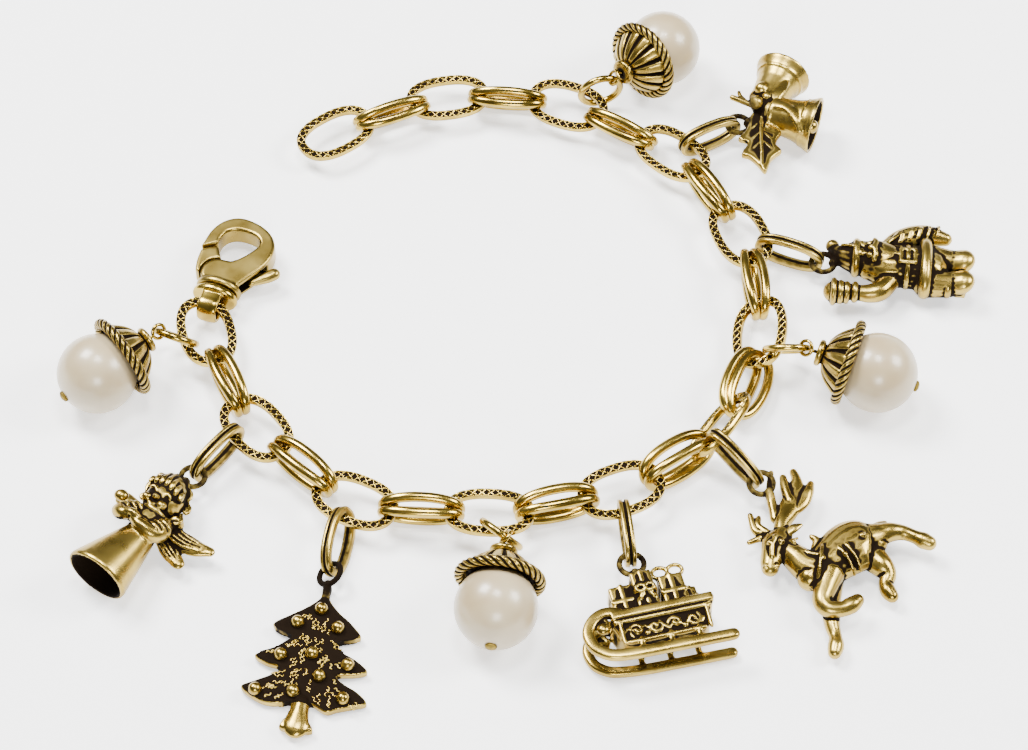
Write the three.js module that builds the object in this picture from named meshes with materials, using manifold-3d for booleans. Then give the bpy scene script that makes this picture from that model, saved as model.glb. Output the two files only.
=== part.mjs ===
// Charm bracelet laid open on a flat surface: textured and doubled oval links, pearl drops and cast figures.
// Millimetres, +Z up, the surface at z = 0.
import * as THREE from 'three';
import { mergeVertices } from 'three/addons/utils/BufferGeometryUtils.js';
import Module from 'manifold-3d';

const wasm = await Module();
wasm.setup();

// Chain links
const texturedLength = 11.0;
const texturedWidth = 7.3;
const texturedWire = 1.15;
const texturedHeight = 0.95;
const plainLength = 10.6;
const plainWidth = 5.5;
const plainWire = 1.0;
const pairSpread = 0.84;
const linkPlay = 0.35;
const ovalRoundness = 2.4;
const texturedSegments = 12;
const plainSegments = 10;

// Bails and jump rings
const bailLength = 9.0;
const bailWidth = 4.6;
const bailStrap = 1.2;
const bailThickness = 0.8;
const bailPlay = 0.3;
const eyeDiameter = 3.7;
const eyeWire = 0.75;
const jumpDiameter = 6.2;
const jumpWire = 0.85;
const jumpPlay = 0.42;
const ringSides = 6;
const ringSegments = 12;

// Pearl drops
const pearlDiameter = 9.9;
const pearlBore = 1.3;
const pinDiameter = 0.7;
const pinHeadDiameter = 1.2;
const pinClearance = 0.3;
const loopOpening = 1.35;
const loopWire = 0.45;
const capRim = 10.9;
const capRimWire = 1.15;
const capNeck = 2.6;
const capKnob = 3.4;
const capKnobThickness = 0.7;
const capWall = 0.8;
const capGap = 0.3;
const capReach = 7.9;
const rimReach = 3.8;
const capSides = 14;
const loopReach = 1.4;

// Clasp
const claspThickness = 2.8;
const claspCollarWidth = 6.0;
const claspCollarHeight = 4.6;
const claspCollarThickness = 1.0;
const claspCollarGap = 0.3;
const claspLoopWidth = 2.6;
const claspLoopThickness = 0.7;
const claspLoopOpening = 2.3;
const claspLoopHeight = 2.2;
const claspPostDiameter = 1.6;
const claspPivotDiameter = 0.9;
const claspSlot = 1.5;
const leverThickness = 1.0;
const leverGap = 0.25;
const leverKnob = 1.8;
const claspLength = 12.8;

// Figures: overall length away from the eye, and thickness
const treeLength = 21.2;
const treeWidth = 14.6;
const treeThickness = 1.5;
const treeBall = 1.6;
const angelLength = 18.4;
const angelDepth = 8.2;
const skirtHem = 8.4;
const skirtWaist = 4.0;
const skirtWall = 0.7;
const sleighLength = 16.2;
const sleighDepth = 5.0;
const reindeerLength = 22.0;
const reindeerDepth = 5.2;
const santaLength = 18.2;
const santaDepth = 5.6;
const bellMouth = 7.6;
const bellHeight = 7.4;
const bellWall = 0.7;

// Route of the chain: heading of each link in degrees, height and roll of its middle, extra play at its ends
const chainStart = { x: -38.5, y: 4.5 };
const texturedTable = [
  { heading: -76, height: 2.8, roll: -8, slack: 0.1 },
  { heading: -52, height: 2.7, roll: 0, slack: 0.05 },
  { heading: -26, height: 2.6, roll: 0, slack: 0.1 },
  { heading: -3, height: 2.7, roll: -8, slack: 0.12 },
  { heading: 22, height: 2.7, roll: 4, slack: 0.15 },
  { heading: 58, height: 2.9, roll: -50, slack: 0.58 },
  { heading: 86, height: 2.8, roll: -26, slack: 0.42 },
  { heading: 110, height: 2.7, roll: 0, slack: 0.05 },
  { heading: 138, height: 2.6, roll: 0, slack: 0.35 },
  { heading: 158, height: 2.5, roll: -8, slack: 0.2 },
  { heading: 190, height: 2.3, roll: 0, slack: 0.35 },
  { heading: 216, height: 2.3, roll: 0, slack: 0.3 },
];
const doubleTable = [
  { heading: -65, outerLean: 8, innerLean: -4 },
  { heading: -42, outerLean: 13, innerLean: -3 },
  { heading: -3, outerLean: 22, innerLean: 10 },
  { heading: 13, outerLean: 13, innerLean: 0 },
  { heading: 35, outerLean: -3, innerLean: -24 },
  { heading: 68, outerLean: -58, innerLean: -40 },
  { heading: 96, outerLean: 6, innerLean: -6 },
  { heading: 120, outerLean: -12, innerLean: -18 },
  { heading: 148, outerLean: -28, innerLean: -40 },
  { heading: 175, outerLean: -28, innerLean: -40 },
  { heading: 203, outerLean: -25, innerLean: -45 },
];

// What hangs on which textured link: place round its oval in degrees, headings, and height of the eye
const charmTable = [
  { name: 'angel', link: 2, place: -97, heading: -128, lean: 0, eyeHeight: 2.4, turn: -126 },
  { name: 'tree', link: 3, place: -90, heading: -101, lean: 30, eyeHeight: 1.75, turn: -99 },
  { name: 'sleigh', link: 5, place: -98, heading: -84, lean: 0, eyeHeight: 2.4, turn: 14 },
  { name: 'reindeer', link: 6, place: -129, heading: -43, lean: 10, eyeHeight: 2.6, turn: 0 },
  { name: 'santa', link: 8, place: -122, heading: -20, lean: 0, eyeHeight: 2.4, turn: -6 },
  { name: 'bells', link: 9, place: -95, heading: 29, lean: 0, eyeHeight: 2.4, turn: 0 },
];
const dropTable = [
  { link: 1, place: -84, ringHeading: 198, lean: -52, heading: 218 },
  { link: 4, place: -78, ringHeading: -73, lean: 41, heading: -97 },
  { link: 7, place: -128, ringHeading: -24, lean: 41, heading: -19 },
  { link: 10, place: -120, ringHeading: 5, lean: 12, heading: 44 },
];

const gold = new THREE.MeshStandardMaterial({ color: 0xb8935a, roughness: 0.34, metalness: 1 });
const darkGold = new THREE.MeshStandardMaterial({ color: 0x8a6c3c, roughness: 0.5, metalness: 1 });
const pearlWhite = new THREE.MeshStandardMaterial({ color: 0xf0e8dc, roughness: 0.25, metalness: 0 });

const radians = THREE.MathUtils.degToRad;
const bracelet = new THREE.Group();

class OvalCurve extends THREE.Curve {
  constructor(halfLength, halfWidth) {
    super();
    this.halfLength = halfLength;
    this.halfWidth = halfWidth;
  }

  getPoint(t, target = new THREE.Vector3()) {
    const angle = 2 * Math.PI * t;
    return target.copy(ovalPoint(this.halfLength, this.halfWidth, Math.cos(angle), Math.sin(angle)));
  }
}

// Point of a superellipse at the given cosine and sine
function ovalPoint(halfLength, halfWidth, cosine, sine) {
  const power = 2 / ovalRoundness;
  const x = halfLength * Math.sign(cosine) * Math.abs(cosine) ** power;
  const y = halfWidth * Math.sign(sine) * Math.abs(sine) ** power;
  return new THREE.Vector3(x, y, 0);
}

// Point of the superellipse that lies furthest along a direction, an angle from its long axis
function ovalSupport(halfLength, halfWidth, angle) {
  const power = ovalRoundness / (ovalRoundness - 1);
  const along = halfLength * Math.abs(Math.cos(angle));
  const across = halfWidth * Math.abs(Math.sin(angle));
  const reach = (along ** power + across ** power) ** (1 / power);
  const x = halfLength * Math.sign(Math.cos(angle)) * (along / reach) ** (power - 1);
  const y = halfWidth * Math.sign(Math.sin(angle)) * (across / reach) ** (power - 1);
  return new THREE.Vector2(x, y);
}

function ovalRing(halfLength, halfWidth, wire, segments, sides) {
  return new THREE.TubeGeometry(new OvalCurve(halfLength, halfWidth), segments, wire / 2, sides, true);
}

function solidOf(geometry) {
  const bare = geometry.clone();
  bare.deleteAttribute('normal');
  bare.deleteAttribute('uv');
  const merged = mergeVertices(bare, 1e-4);
  const corners = merged.index.array;
  const kept = [];
  for (let start = 0; start < corners.length; start += 3) {
    const [a, b, c] = corners.slice(start, start + 3);
    if (a !== b && b !== c && c !== a) {
      kept.push(a, b, c);
    }
  }
  const vertProperties = new Float32Array(merged.attributes.position.array);
  const triVerts = new Uint32Array(kept);
  return new wasm.Manifold(new wasm.Mesh({ numProp: 3, vertProperties, triVerts }));
}

function geometryOf(solid) {
  const mesh = solid.getMesh();
  const geometry = new THREE.BufferGeometry();
  geometry.setAttribute('position', new THREE.BufferAttribute(mesh.vertProperties, 3));
  geometry.setIndex(new THREE.BufferAttribute(mesh.triVerts, 1));
  geometry.computeVertexNormals();
  return geometry;
}

function join(geometries) {
  return geometries.map(solidOf).reduce((sum, solid) => sum.add(solid));
}

function fuse(geometries) {
  return geometryOf(join(geometries));
}

function cut(geometries, tools) {
  return geometryOf(join(geometries).subtract(join(tools)));
}

// Cylinder or cone between two points
function rod(from, to, startRadius, endRadius = startRadius, sides = 5) {
  const start = new THREE.Vector3(...from);
  const end = new THREE.Vector3(...to);
  const axis = end.clone().sub(start);
  const shape = new THREE.CylinderGeometry(endRadius, startRadius, axis.length(), sides);
  const turn = new THREE.Quaternion().setFromUnitVectors(new THREE.Vector3(0, 1, 0), axis.normalize());
  const middle = start.add(end).multiplyScalar(0.5);
  return shape.applyQuaternion(turn).translate(middle.x, middle.y, middle.z);
}

// Closed lathe shape turned about X from rows of distance along X and radius
function turned(rows, sides) {
  const profile = rows.map((row) => new THREE.Vector2(row.radius, row.x));
  return new THREE.LatheGeometry(profile, sides).rotateZ(-Math.PI / 2);
}

function ball(at, radius, stretch = { x: 1, y: 1, z: 1 }) {
  const shape = new THREE.SphereGeometry(radius, 8, 5);
  return shape.scale(stretch.x, stretch.y, stretch.z).translate(...at);
}

function pebble(at, radius) {
  return new THREE.OctahedronGeometry(1.15 * radius, 0).translate(...at);
}

// Closed tube through a run of points, each with its own half width and half height
function limb(rows, sides = 5) {
  const points = rows.map((row) => new THREE.Vector3(row.x, row.y, row.z));
  const last = points.length - 1;
  const up = new THREE.Vector3(0, 0, 1);
  const corners = [];
  const faces = [];
  points.forEach((point, index) => {
    const ahead = points[Math.min(index + 1, last)].clone().sub(points[Math.max(index - 1, 0)]).normalize();
    const side = up.clone().cross(ahead).normalize();
    const lift = ahead.clone().cross(side);
    for (let corner = 0; corner < sides; corner += 1) {
      const angle = 2 * Math.PI * corner / sides;
      const { half, high } = rows[index];
      const spot = point.clone().addScaledVector(side, half * Math.cos(angle));
      corners.push(spot.addScaledVector(lift, high * Math.sin(angle)));
      const next = (corner + 1) % sides;
      if (index < last) {
        const [near, far] = [index * sides, (index + 1) * sides];
        faces.push(near + corner, near + next, far + next, near + corner, far + next, far + corner);
      }
    }
  });
  const tips = [points[0].clone().sub(points[1]), points[last].clone().sub(points[last - 1])];
  [0, last].forEach((row, end) => {
    corners.push(points[row].clone().addScaledVector(tips[end].normalize(), 0.5 * rows[row].half));
    for (let corner = 0; corner < sides; corner += 1) {
      const pair = [row * sides + corner, row * sides + (corner + 1) % sides];
      faces.push(points.length * sides + end, ...(end === 0 ? pair.reverse() : pair));
    }
  });
  const shape = new THREE.BufferGeometry().setFromPoints(corners);
  return shape.setIndex(faces);
}

function place(mesh, spot) {
  mesh.position.set(spot.x, spot.y, spot.z);
  mesh.rotation.set(radians(spot.roll), -radians(spot.pitch), radians(spot.heading), 'ZYX');
  mesh.updateMatrixWorld();
  return mesh;
}

function addPiece(parent, name, geometry, material) {
  const mesh = new THREE.Mesh(geometry, material);
  mesh.name = name;
  parent.add(mesh);
  return mesh;
}

function numbered(name, index) {
  return `${name}_${String(index + 1).padStart(2, '0')}`;
}

// Chain
const texturedHalfLength = (texturedLength - texturedWire) / 2;
const texturedHalfWidth = (texturedWidth - texturedWire) / 2;
const plainHalfLength = (plainLength - plainWire) / 2;
const plainHalfWidth = (plainWidth - plainWire) / 2;
const linkStep = (texturedWire + plainWire) / 2 + linkPlay;

function texturedLink() {
  const ring = ovalRing(texturedHalfLength, texturedHalfWidth, texturedWire, texturedSegments, ringSides);
  return ring.scale(1, 1, texturedHeight / texturedWire);
}

function doubleLink(row) {
  const sides = [
    { lean: row.outerLean, shift: -pairSpread / 2 },
    { lean: row.innerLean, shift: pairSpread / 2 },
  ];
  return fuse(sides.map((side) => {
    const ring = ovalRing(plainHalfLength, plainHalfWidth, plainWire, plainSegments, 5);
    return ring.rotateX(radians(90 + side.lean)).translate(0, side.shift, 0);
  }));
}

function unit(heading) {
  return new THREE.Vector2(Math.cos(radians(heading)), Math.sin(radians(heading)));
}

// Where the middle of a textured link's end wire lies when it is pulled in a direction
function texturedEnd(row, pull) {
  const angle = pull.angle() - radians(row.heading);
  const halfWidth = texturedHalfWidth * Math.cos(radians(row.roll));
  const point = ovalSupport(texturedHalfLength, halfWidth, angle);
  return point.rotateAround(new THREE.Vector2(), radians(row.heading));
}

const texturedLinks = [];
const middle = new THREE.Vector2(chainStart.x, chainStart.y);
texturedTable.forEach((row, index) => {
  const link = addPiece(bracelet, numbered('textured_link', index), texturedLink(), gold);
  const spot = { x: middle.x, y: middle.y, z: row.height, roll: row.roll, pitch: 0, heading: row.heading };
  texturedLinks.push(place(link, spot));
  if (index === doubleTable.length) {
    return;
  }
  const double = doubleTable[index];
  const next = texturedTable[index + 1];
  const along = unit(double.heading);
  const pull = unit(row.heading).add(along).normalize();
  middle.add(texturedEnd(row, pull)).addScaledVector(pull, -linkStep - row.slack).addScaledVector(along, plainHalfLength);
  const upright = Math.max(Math.cos(radians(double.outerLean)), Math.cos(radians(double.innerLean)));
  const height = plainWire / 2 + plainHalfWidth * upright;
  const pair = addPiece(bracelet, numbered('double_link', index), doubleLink(double), gold);
  place(pair, { x: middle.x, y: middle.y, z: height, roll: 0, pitch: 0, heading: double.heading });
  const drag = unit(next.heading).add(along).normalize();
  middle.addScaledVector(along, plainHalfLength).addScaledVector(drag, -linkStep - next.slack);
  middle.add(texturedEnd(next, drag.clone().negate()).negate());
});

// Middle of a textured link's wire at a place round its oval
function wirePoint(link, degrees) {
  const angle = radians(degrees);
  const point = ovalPoint(texturedHalfLength, texturedHalfWidth, Math.cos(angle), Math.sin(angle));
  return texturedLinks[link - 1].localToWorld(point);
}

// Figures: each is modelled from its eye at the origin, in plan, with z = 0 on the surface
const eyeRadius = (eyeDiameter - eyeWire) / 2;

function eyeRing(height, lean) {
  const ring = new THREE.TorusGeometry(eyeRadius, eyeWire / 2, 5, 10);
  return ring.rotateX(radians(lean)).translate(0, 0, height);
}

function plate(outline, thickness) {
  return new THREE.ExtrudeGeometry(outline, { depth: thickness, bevelEnabled: false, curveSegments: 3 });
}

// Fir tree: three tiers given as shares of its length and half width
const treeTiers = [
  { top: 0.17, root: 0.03, tip: 0.35, reach: 0.7, under: 0.42, notch: 0.36 },
  { top: 0.42, root: 0.36, tip: 0.57, reach: 0.9, under: 0.63, notch: 0.42 },
  { top: 0.63, root: 0.42, tip: 0.78, reach: 1.0, under: 0.84, notch: 0.14 },
];
const treeBalls = [
  { along: 0.225, across: 0 }, { along: 0.33, across: -0.34 }, { along: 0.335, across: 0.32 },
  { along: 0.55, across: -0.49 }, { along: 0.52, across: 0 }, { along: 0.56, across: 0.6 },
  { along: 0.66, across: 0.19 }, { along: 0.79, across: -0.77 }, { along: 0.77, across: -0.16 },
  { along: 0.78, across: 0.64 },
];

function treeSide(outline, tier, side, downward) {
  const half = side * treeWidth / 2;
  const tipX = tier.tip * treeLength;
  const bendX = (0.25 * tier.top + 0.75 * tier.tip) * treeLength;
  const bendY = (0.45 * tier.root + 0.55 * tier.reach) * half;
  if (downward) {
    outline.lineTo(tier.top * treeLength, tier.root * half);
    outline.quadraticCurveTo(bendX, bendY * 0.9, tipX, tier.reach * half);
    outline.lineTo(tier.under * treeLength, tier.notch * half * 1.25);
  } else {
    outline.lineTo(tier.under * treeLength, tier.notch * half * 1.25);
    outline.lineTo(tipX, tier.reach * half);
    outline.quadraticCurveTo(bendX, bendY * 0.9, tier.top * treeLength, tier.root * half);
  }
}

function treeCharm(row) {
  const outline = new THREE.Shape();
  const neck = 0.04 * treeWidth;
  outline.moveTo(eyeRadius, neck);
  treeTiers.forEach((tier) => treeSide(outline, tier, 1, true));
  outline.lineTo(0.84 * treeLength, 0.07 * treeWidth);
  outline.lineTo(treeLength, 0.13 * treeWidth);
  outline.lineTo(treeLength, -0.13 * treeWidth);
  outline.lineTo(0.84 * treeLength, -0.07 * treeWidth);
  [...treeTiers].reverse().forEach((tier) => treeSide(outline, tier, -1, false));
  outline.lineTo(eyeRadius, -neck);
  const pieces = [plate(outline, treeThickness), eyeRing(row.eyeHeight, row.lean)];
  pieces.push(rod([eyeRadius, 0, row.eyeHeight], [0.2 * treeLength, 0, treeThickness / 2], eyeWire / 2, neck));
  treeBalls.forEach((spot) => {
    const bauble = new THREE.SphereGeometry(treeBall / 2, 6, 4);
    pieces.push(bauble.translate(spot.along * treeLength, spot.across * treeWidth / 2, treeThickness));
  });
  return fuse(pieces);
}

// Builds points and sizes from shares of a figure's length, in plan, and of its depth, upwards
function figureKit(length, depth) {
  const at = (x, y, z) => [x * length, y * length, z * depth];
  return {
    at,
    ball: (x, y, z, radius, stretch) => ball(at(x, y, z), radius * depth, stretch),
    pebble: (x, y, z, radius) => pebble(at(x, y, z), radius * depth),
    block: (x, y, z) => {
      const size = [(x[1] - x[0]) * length, (y[1] - y[0]) * length, (z[1] - z[0]) * depth];
      return new THREE.BoxGeometry(...size).translate(...at((x[0] + x[1]) / 2, (y[0] + y[1]) / 2, (z[0] + z[1]) / 2));
    },
    limb: (rows, sides) => limb(rows.map(([x, y, z, half, high = half]) => {
      return { x: x * length, y: y * length, z: z * depth, half: half * depth, high: high * depth };
    }), sides),
  };
}

// Short neck from the eye ring into the figure
function eyeNeck(row, length, depth, to) {
  const from = [0.75 * eyeRadius * Math.sign(to[0]), 0, row.eyeHeight];
  return limb([
    { x: from[0], y: from[1], z: from[2], half: 0.5, high: 0.45 },
    { x: to[0] * length, y: to[1] * length, z: to[2] * depth, half: 0.9, high: 0.8 },
  ]);
}

function angelCharm(row) {
  const kit = figureKit(angelLength, angelDepth);
  const skirtStart = 0.53 * angelLength;
  const skirtReach = angelLength - skirtStart;
  const skirtRows = [
    { x: 0, radius: 0 }, { x: 0, radius: skirtWaist / 2 },
    { x: 0.5 * skirtReach, radius: 0.27 * (skirtHem + skirtWaist) },
    { x: skirtReach, radius: skirtHem / 2 },
    { x: skirtReach, radius: skirtHem / 2 - skirtWall },
    { x: 2 * skirtWall, radius: skirtWaist / 2 - skirtWall }, { x: 2 * skirtWall, radius: 0 },
  ];
  const skirt = turned(skirtRows, 14).translate(skirtStart, 0.02 * angelLength, skirtHem / 2);
  return fuse([
    eyeRing(row.eyeHeight, row.lean),
    eyeNeck(row, angelLength, angelDepth, [0.19, -0.03, 0.4]),
    skirt,
    kit.ball(0.25, -0.055, 0.44, 0.29),
    kit.ball(0.2, -0.045, 0.42, 0.3, { x: 0.85, y: 1, z: 0.9 }),
    kit.pebble(0.18, -0.2, 0.42, 0.13),
    kit.pebble(0.3, 0.1, 0.42, 0.13),
    kit.limb([[0.34, -0.03, 0.46, 0.2], [0.45, 0.0, 0.48, 0.27], [0.56, 0.02, 0.5, 0.22]], 7),
    kit.limb([[0.42, -0.1, 0.5, 0.14], [0.51, -0.18, 0.58, 0.14], [0.54, -0.1, 0.72, 0.1]]),
    kit.limb([[0.42, 0.1, 0.5, 0.14], [0.53, 0.12, 0.6, 0.15], [0.55, -0.04, 0.72, 0.1]]),
    kit.limb([[0.44, -0.14, 0.5, 0.09], [0.39, -0.29, 0.5, 0.14]]),
    kit.limb([[0.42, 0.1, 0.34, 0.11, 0.09], [0.42, 0.29, 0.3, 0.15, 0.09], [0.35, 0.41, 0.28, 0.11, 0.07]]),
    kit.limb([[0.44, 0.12, 0.3, 0.1, 0.08], [0.53, 0.29, 0.27, 0.09, 0.07]]),
  ]);
}

function sleighCharm(row) {
  const kit = figureKit(sleighLength, sleighDepth);
  const runner = (z) => kit.limb([
    [-0.36, -0.55, z, 0.13], [-0.47, -0.59, z, 0.11], [-0.46, -0.7, z, 0.1],
    [-0.34, -0.8, z, 0.11], [0.52, -0.83, z, 0.1],
  ]);
  return fuse([
    eyeRing(row.eyeHeight, row.lean),
    kit.limb([[0.0, -0.08, row.eyeHeight / sleighDepth, 0.1], [0.0, -0.2, 0.5, 0.2]]),
    kit.block([-0.27, 0.4], [-0.74, -0.49], [0.06, 0.9]),
    kit.block([-0.29, 0.44], [-0.52, -0.47], [0.04, 0.98]),
    runner(0.88),
    runner(0.12),
    kit.block([0.27, 0.33], [-0.85, -0.7], [0.1, 0.9]),
    kit.block([-0.15, -0.09], [-0.83, -0.7], [0.1, 0.9]),
    kit.block([-0.24, -0.06], [-0.5, -0.23], [0.12, 0.86]),
    kit.block([-0.08, 0.09], [-0.5, -0.15], [0.16, 0.9]),
    kit.block([0.13, 0.31], [-0.5, -0.2], [0.1, 0.86]),
    kit.block([0.3, 0.37], [-0.5, -0.35], [0.2, 0.8]),
    kit.limb([[0.13, -0.12, 0.6, 0.13], [0.22, -0.17, 0.6, 0.2], [0.31, -0.1, 0.6, 0.13]]),
  ]);
}

function reindeerCharm(row) {
  const kit = figureKit(reindeerLength, reindeerDepth);
  return fuse([
    eyeRing(row.eyeHeight, row.lean),
    kit.limb([[0.04, -0.06, row.eyeHeight / reindeerDepth, 0.09], [0.05, -0.24, 0.46, 0.1]]),
    kit.limb([[0.1, -0.38, 0.46, 0.11], [0.14, -0.17, 0.46, 0.09], [0.19, -0.03, 0.45, 0.08], [0.18, 0.11, 0.42, 0.06]]),
    kit.limb([[0.14, -0.17, 0.46, 0.08], [0.23, -0.13, 0.46, 0.07], [0.29, 0.01, 0.42, 0.06]]),
    kit.limb([[0.1, -0.24, 0.46, 0.08], [0.03, -0.1, 0.46, 0.07], [0.05, 0.11, 0.44, 0.06]]),
    kit.limb([[0.11, -0.34, 0.45, 0.1], [-0.04, -0.31, 0.4, 0.08], [-0.07, -0.18, 0.4, 0.06]]),
    kit.limb([[0.12, -0.35, 0.48, 0.12], [0.07, -0.42, 0.46, 0.2], [0.02, -0.5, 0.46, 0.15], [-0.01, -0.57, 0.46, 0.1]], 6),
    kit.limb([[0.09, -0.4, 0.46, 0.17], [0.17, -0.49, 0.46, 0.21], [0.27, -0.55, 0.46, 0.3]], 6),
    kit.limb([
      [0.23, -0.63, 0.46, 0.2], [0.31, -0.57, 0.46, 0.4, 0.36], [0.43, -0.48, 0.46, 0.41, 0.38],
      [0.55, -0.39, 0.46, 0.37, 0.38], [0.64, -0.34, 0.46, 0.2],
    ], 7),
    kit.limb([[0.58, -0.37, 0.5, 0.27], [0.7, -0.35, 0.5, 0.16], [0.82, -0.33, 0.5, 0.1], [0.95, -0.36, 0.5, 0.12]]),
    kit.limb([[0.59, -0.42, 0.34, 0.25], [0.68, -0.55, 0.32, 0.15], [0.66, -0.64, 0.3, 0.1], [0.69, -0.73, 0.28, 0.12]]),
    kit.limb([
      [0.34, -0.6, 0.5, 0.25], [0.28, -0.76, 0.54, 0.15], [0.33, -0.85, 0.54, 0.12], [0.47, -0.82, 0.54, 0.11],
    ]),
    kit.limb([[0.33, -0.6, 0.32, 0.22], [0.33, -0.84, 0.28, 0.13], [0.36, -0.97, 0.26, 0.1], [0.34, -1.1, 0.24, 0.12]]),
    kit.limb([[0.63, -0.33, 0.46, 0.14], [0.67, -0.29, 0.46, 0.08]]),
  ]);
}

function santaCharm(row) {
  const kit = figureKit(santaLength, santaDepth);
  const coat = turned([
    { x: 0, radius: 0 }, { x: 0, radius: 0.47 * santaDepth },
    { x: 0.12 * santaLength, radius: 0.5 * santaDepth }, { x: 0.17 * santaLength, radius: 0.66 * santaDepth },
    { x: 0.23 * santaLength, radius: 0.66 * santaDepth }, { x: 0.23 * santaLength, radius: 0 },
  ], 12).scale(1, 1.1, 0.78).translate(0.53 * santaLength, 0, 0.52 * santaDepth);
  const leg = (y) => kit.limb([[0.74, y, 0.48, 0.26], [0.9, y, 0.44, 0.21], [0.97, y, 0.6, 0.26, 0.2]]);
  return fuse([
    eyeRing(row.eyeHeight, row.lean),
    eyeNeck(row, santaLength, santaDepth, [0.17, 0.03, 0.48]),
    kit.limb([[0.08, 0.12, 0.5, 0.14], [0.14, 0.07, 0.5, 0.3], [0.25, 0.05, 0.52, 0.42]], 7),
    kit.ball(0.28, 0.04, 0.52, 0.42, { x: 1, y: 1.05, z: 0.95 }),
    kit.limb([[0.33, 0.04, 0.66, 0.38, 0.22], [0.46, 0.02, 0.72, 0.34, 0.22], [0.53, -0.02, 0.74, 0.12]], 6),
    kit.limb([[0.36, 0.01, 0.5, 0.44, 0.4], [0.46, 0.0, 0.5, 0.56, 0.46], [0.56, 0.0, 0.52, 0.5, 0.42]], 7),
    coat,
    leg(0.09),
    leg(-0.12),
    kit.limb([[0.46, -0.15, 0.5, 0.24], [0.38, -0.25, 0.52, 0.23], [0.22, -0.26, 0.52, 0.19]]),
    kit.limb([[0.24, -0.26, 0.5, 0.15], [0.18, -0.26, 0.5, 0.19], [0.07, -0.26, 0.5, 0.3]], 6),
    kit.limb([[0.44, 0.15, 0.5, 0.26], [0.58, 0.26, 0.5, 0.28], [0.72, 0.3, 0.5, 0.24], [0.84, 0.29, 0.48, 0.16]], 6),
  ]);
}

// Two flared bells with a holly leaf, berries and a ribbon, as shares of the bells' height in plan
const leafOutline = [
  { x: 0.53, y: 0.08 }, { x: 0.49, y: -0.32, bendX: 0.57, bendY: -0.2 }, { x: 0.63, y: -0.46 },
  { x: 0.63, y: -0.78, bendX: 0.5, bendY: -0.6 }, { x: 0.34, y: -1.16, bendX: 0.46, bendY: -0.86 },
  { x: 0.12, y: -0.86, bendX: 0.27, bendY: -0.89 }, { x: 0.09, y: -0.54, bendX: 0.23, bendY: -0.65 },
  { x: 0.22, y: -0.14, bendX: 0.26, bendY: -0.35 }, { x: 0.3, y: 0.08 },
];

function bellShell(apex, heading) {
  const section = [
    { x: 0, radius: 0.22 }, { x: 0.12, radius: 0.5 }, { x: 0.55, radius: 0.62 },
    { x: 0.85, radius: 0.78 }, { x: 1, radius: 1 },
  ];
  const outer = section.map((row) => ({ x: row.x * bellHeight, radius: row.radius * bellMouth / 2 }));
  const inner = section.slice(2).map((row) => {
    return { x: row.x * bellHeight, radius: row.radius * bellMouth / 2 - bellWall };
  });
  inner.unshift({ x: outer[1].x + bellWall, radius: outer[1].radius - bellWall });
  const rows = [{ x: 0, radius: 0 }, ...outer, ...inner.reverse(), { x: inner[inner.length - 1].x, radius: 0 }];
  return turned(rows, 12).rotateZ(radians(heading)).translate(...apex);
}

function bellsCharm(row) {
  const kit = figureKit(bellHeight, bellMouth);
  const apex = kit.at(0.41, 0.15, 0.5);
  const leaf = new THREE.Shape();
  leafOutline.forEach((point, index) => {
    const [x, y] = kit.at(point.x, point.y, 0);
    if (index === 0) {
      leaf.moveTo(x, y);
    } else if (point.bendX === undefined) {
      leaf.lineTo(x, y);
    } else {
      leaf.quadraticCurveTo(point.bendX * bellHeight, point.bendY * bellHeight, x, y);
    }
  });
  return fuse([
    eyeRing(row.eyeHeight, row.lean),
    eyeNeck(row, bellHeight, bellMouth, [0.45, 0.1, 0.5]),
    bellShell(apex, -20),
    bellShell(apex, 64),
    kit.ball(0.45, 0.14, 0.55, 0.25),
    kit.ball(0.36, 0.42, 0.72, 0.12),
    kit.ball(0.28, 0.1, 0.74, 0.12),
    plate(leaf, 0.16 * bellMouth).translate(0, 0, 0.46 * bellMouth),
    kit.limb([[0.36, -0.3, 0.54, 0.13], [0.42, 0.1, 0.56, 0.16]]),
    kit.limb([[0.38, 0.2, 0.5, 0.09], [0.1, 0.34, 0.5, 0.08], [-0.09, 0.45, 0.52, 0.07]]),
    kit.limb([[0.48, 0.08, 0.7, 0.09], [0.85, -0.1, 0.8, 0.1], [1.0, -0.36, 0.77, 0.08]]),
  ]);
}

const figures = {
  angel: angelCharm,
  tree: treeCharm,
  sleigh: sleighCharm,
  reindeer: reindeerCharm,
  santa: santaCharm,
  bells: bellsCharm,
};

// Bails: a flat strap bent to an oval that stands on edge, round the link's wire and through the eye
const bailHalfLength = (bailLength - bailThickness) / 2;
const bailHalfWidth = (bailWidth - bailThickness) / 2;
const bailGrip = bailThickness / 2 + bailPlay;

function bail() {
  const ring = ovalRing(bailHalfLength, bailHalfWidth, bailThickness, ringSegments, 4);
  return ring.scale(1, 1, bailStrap / bailThickness);
}

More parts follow.
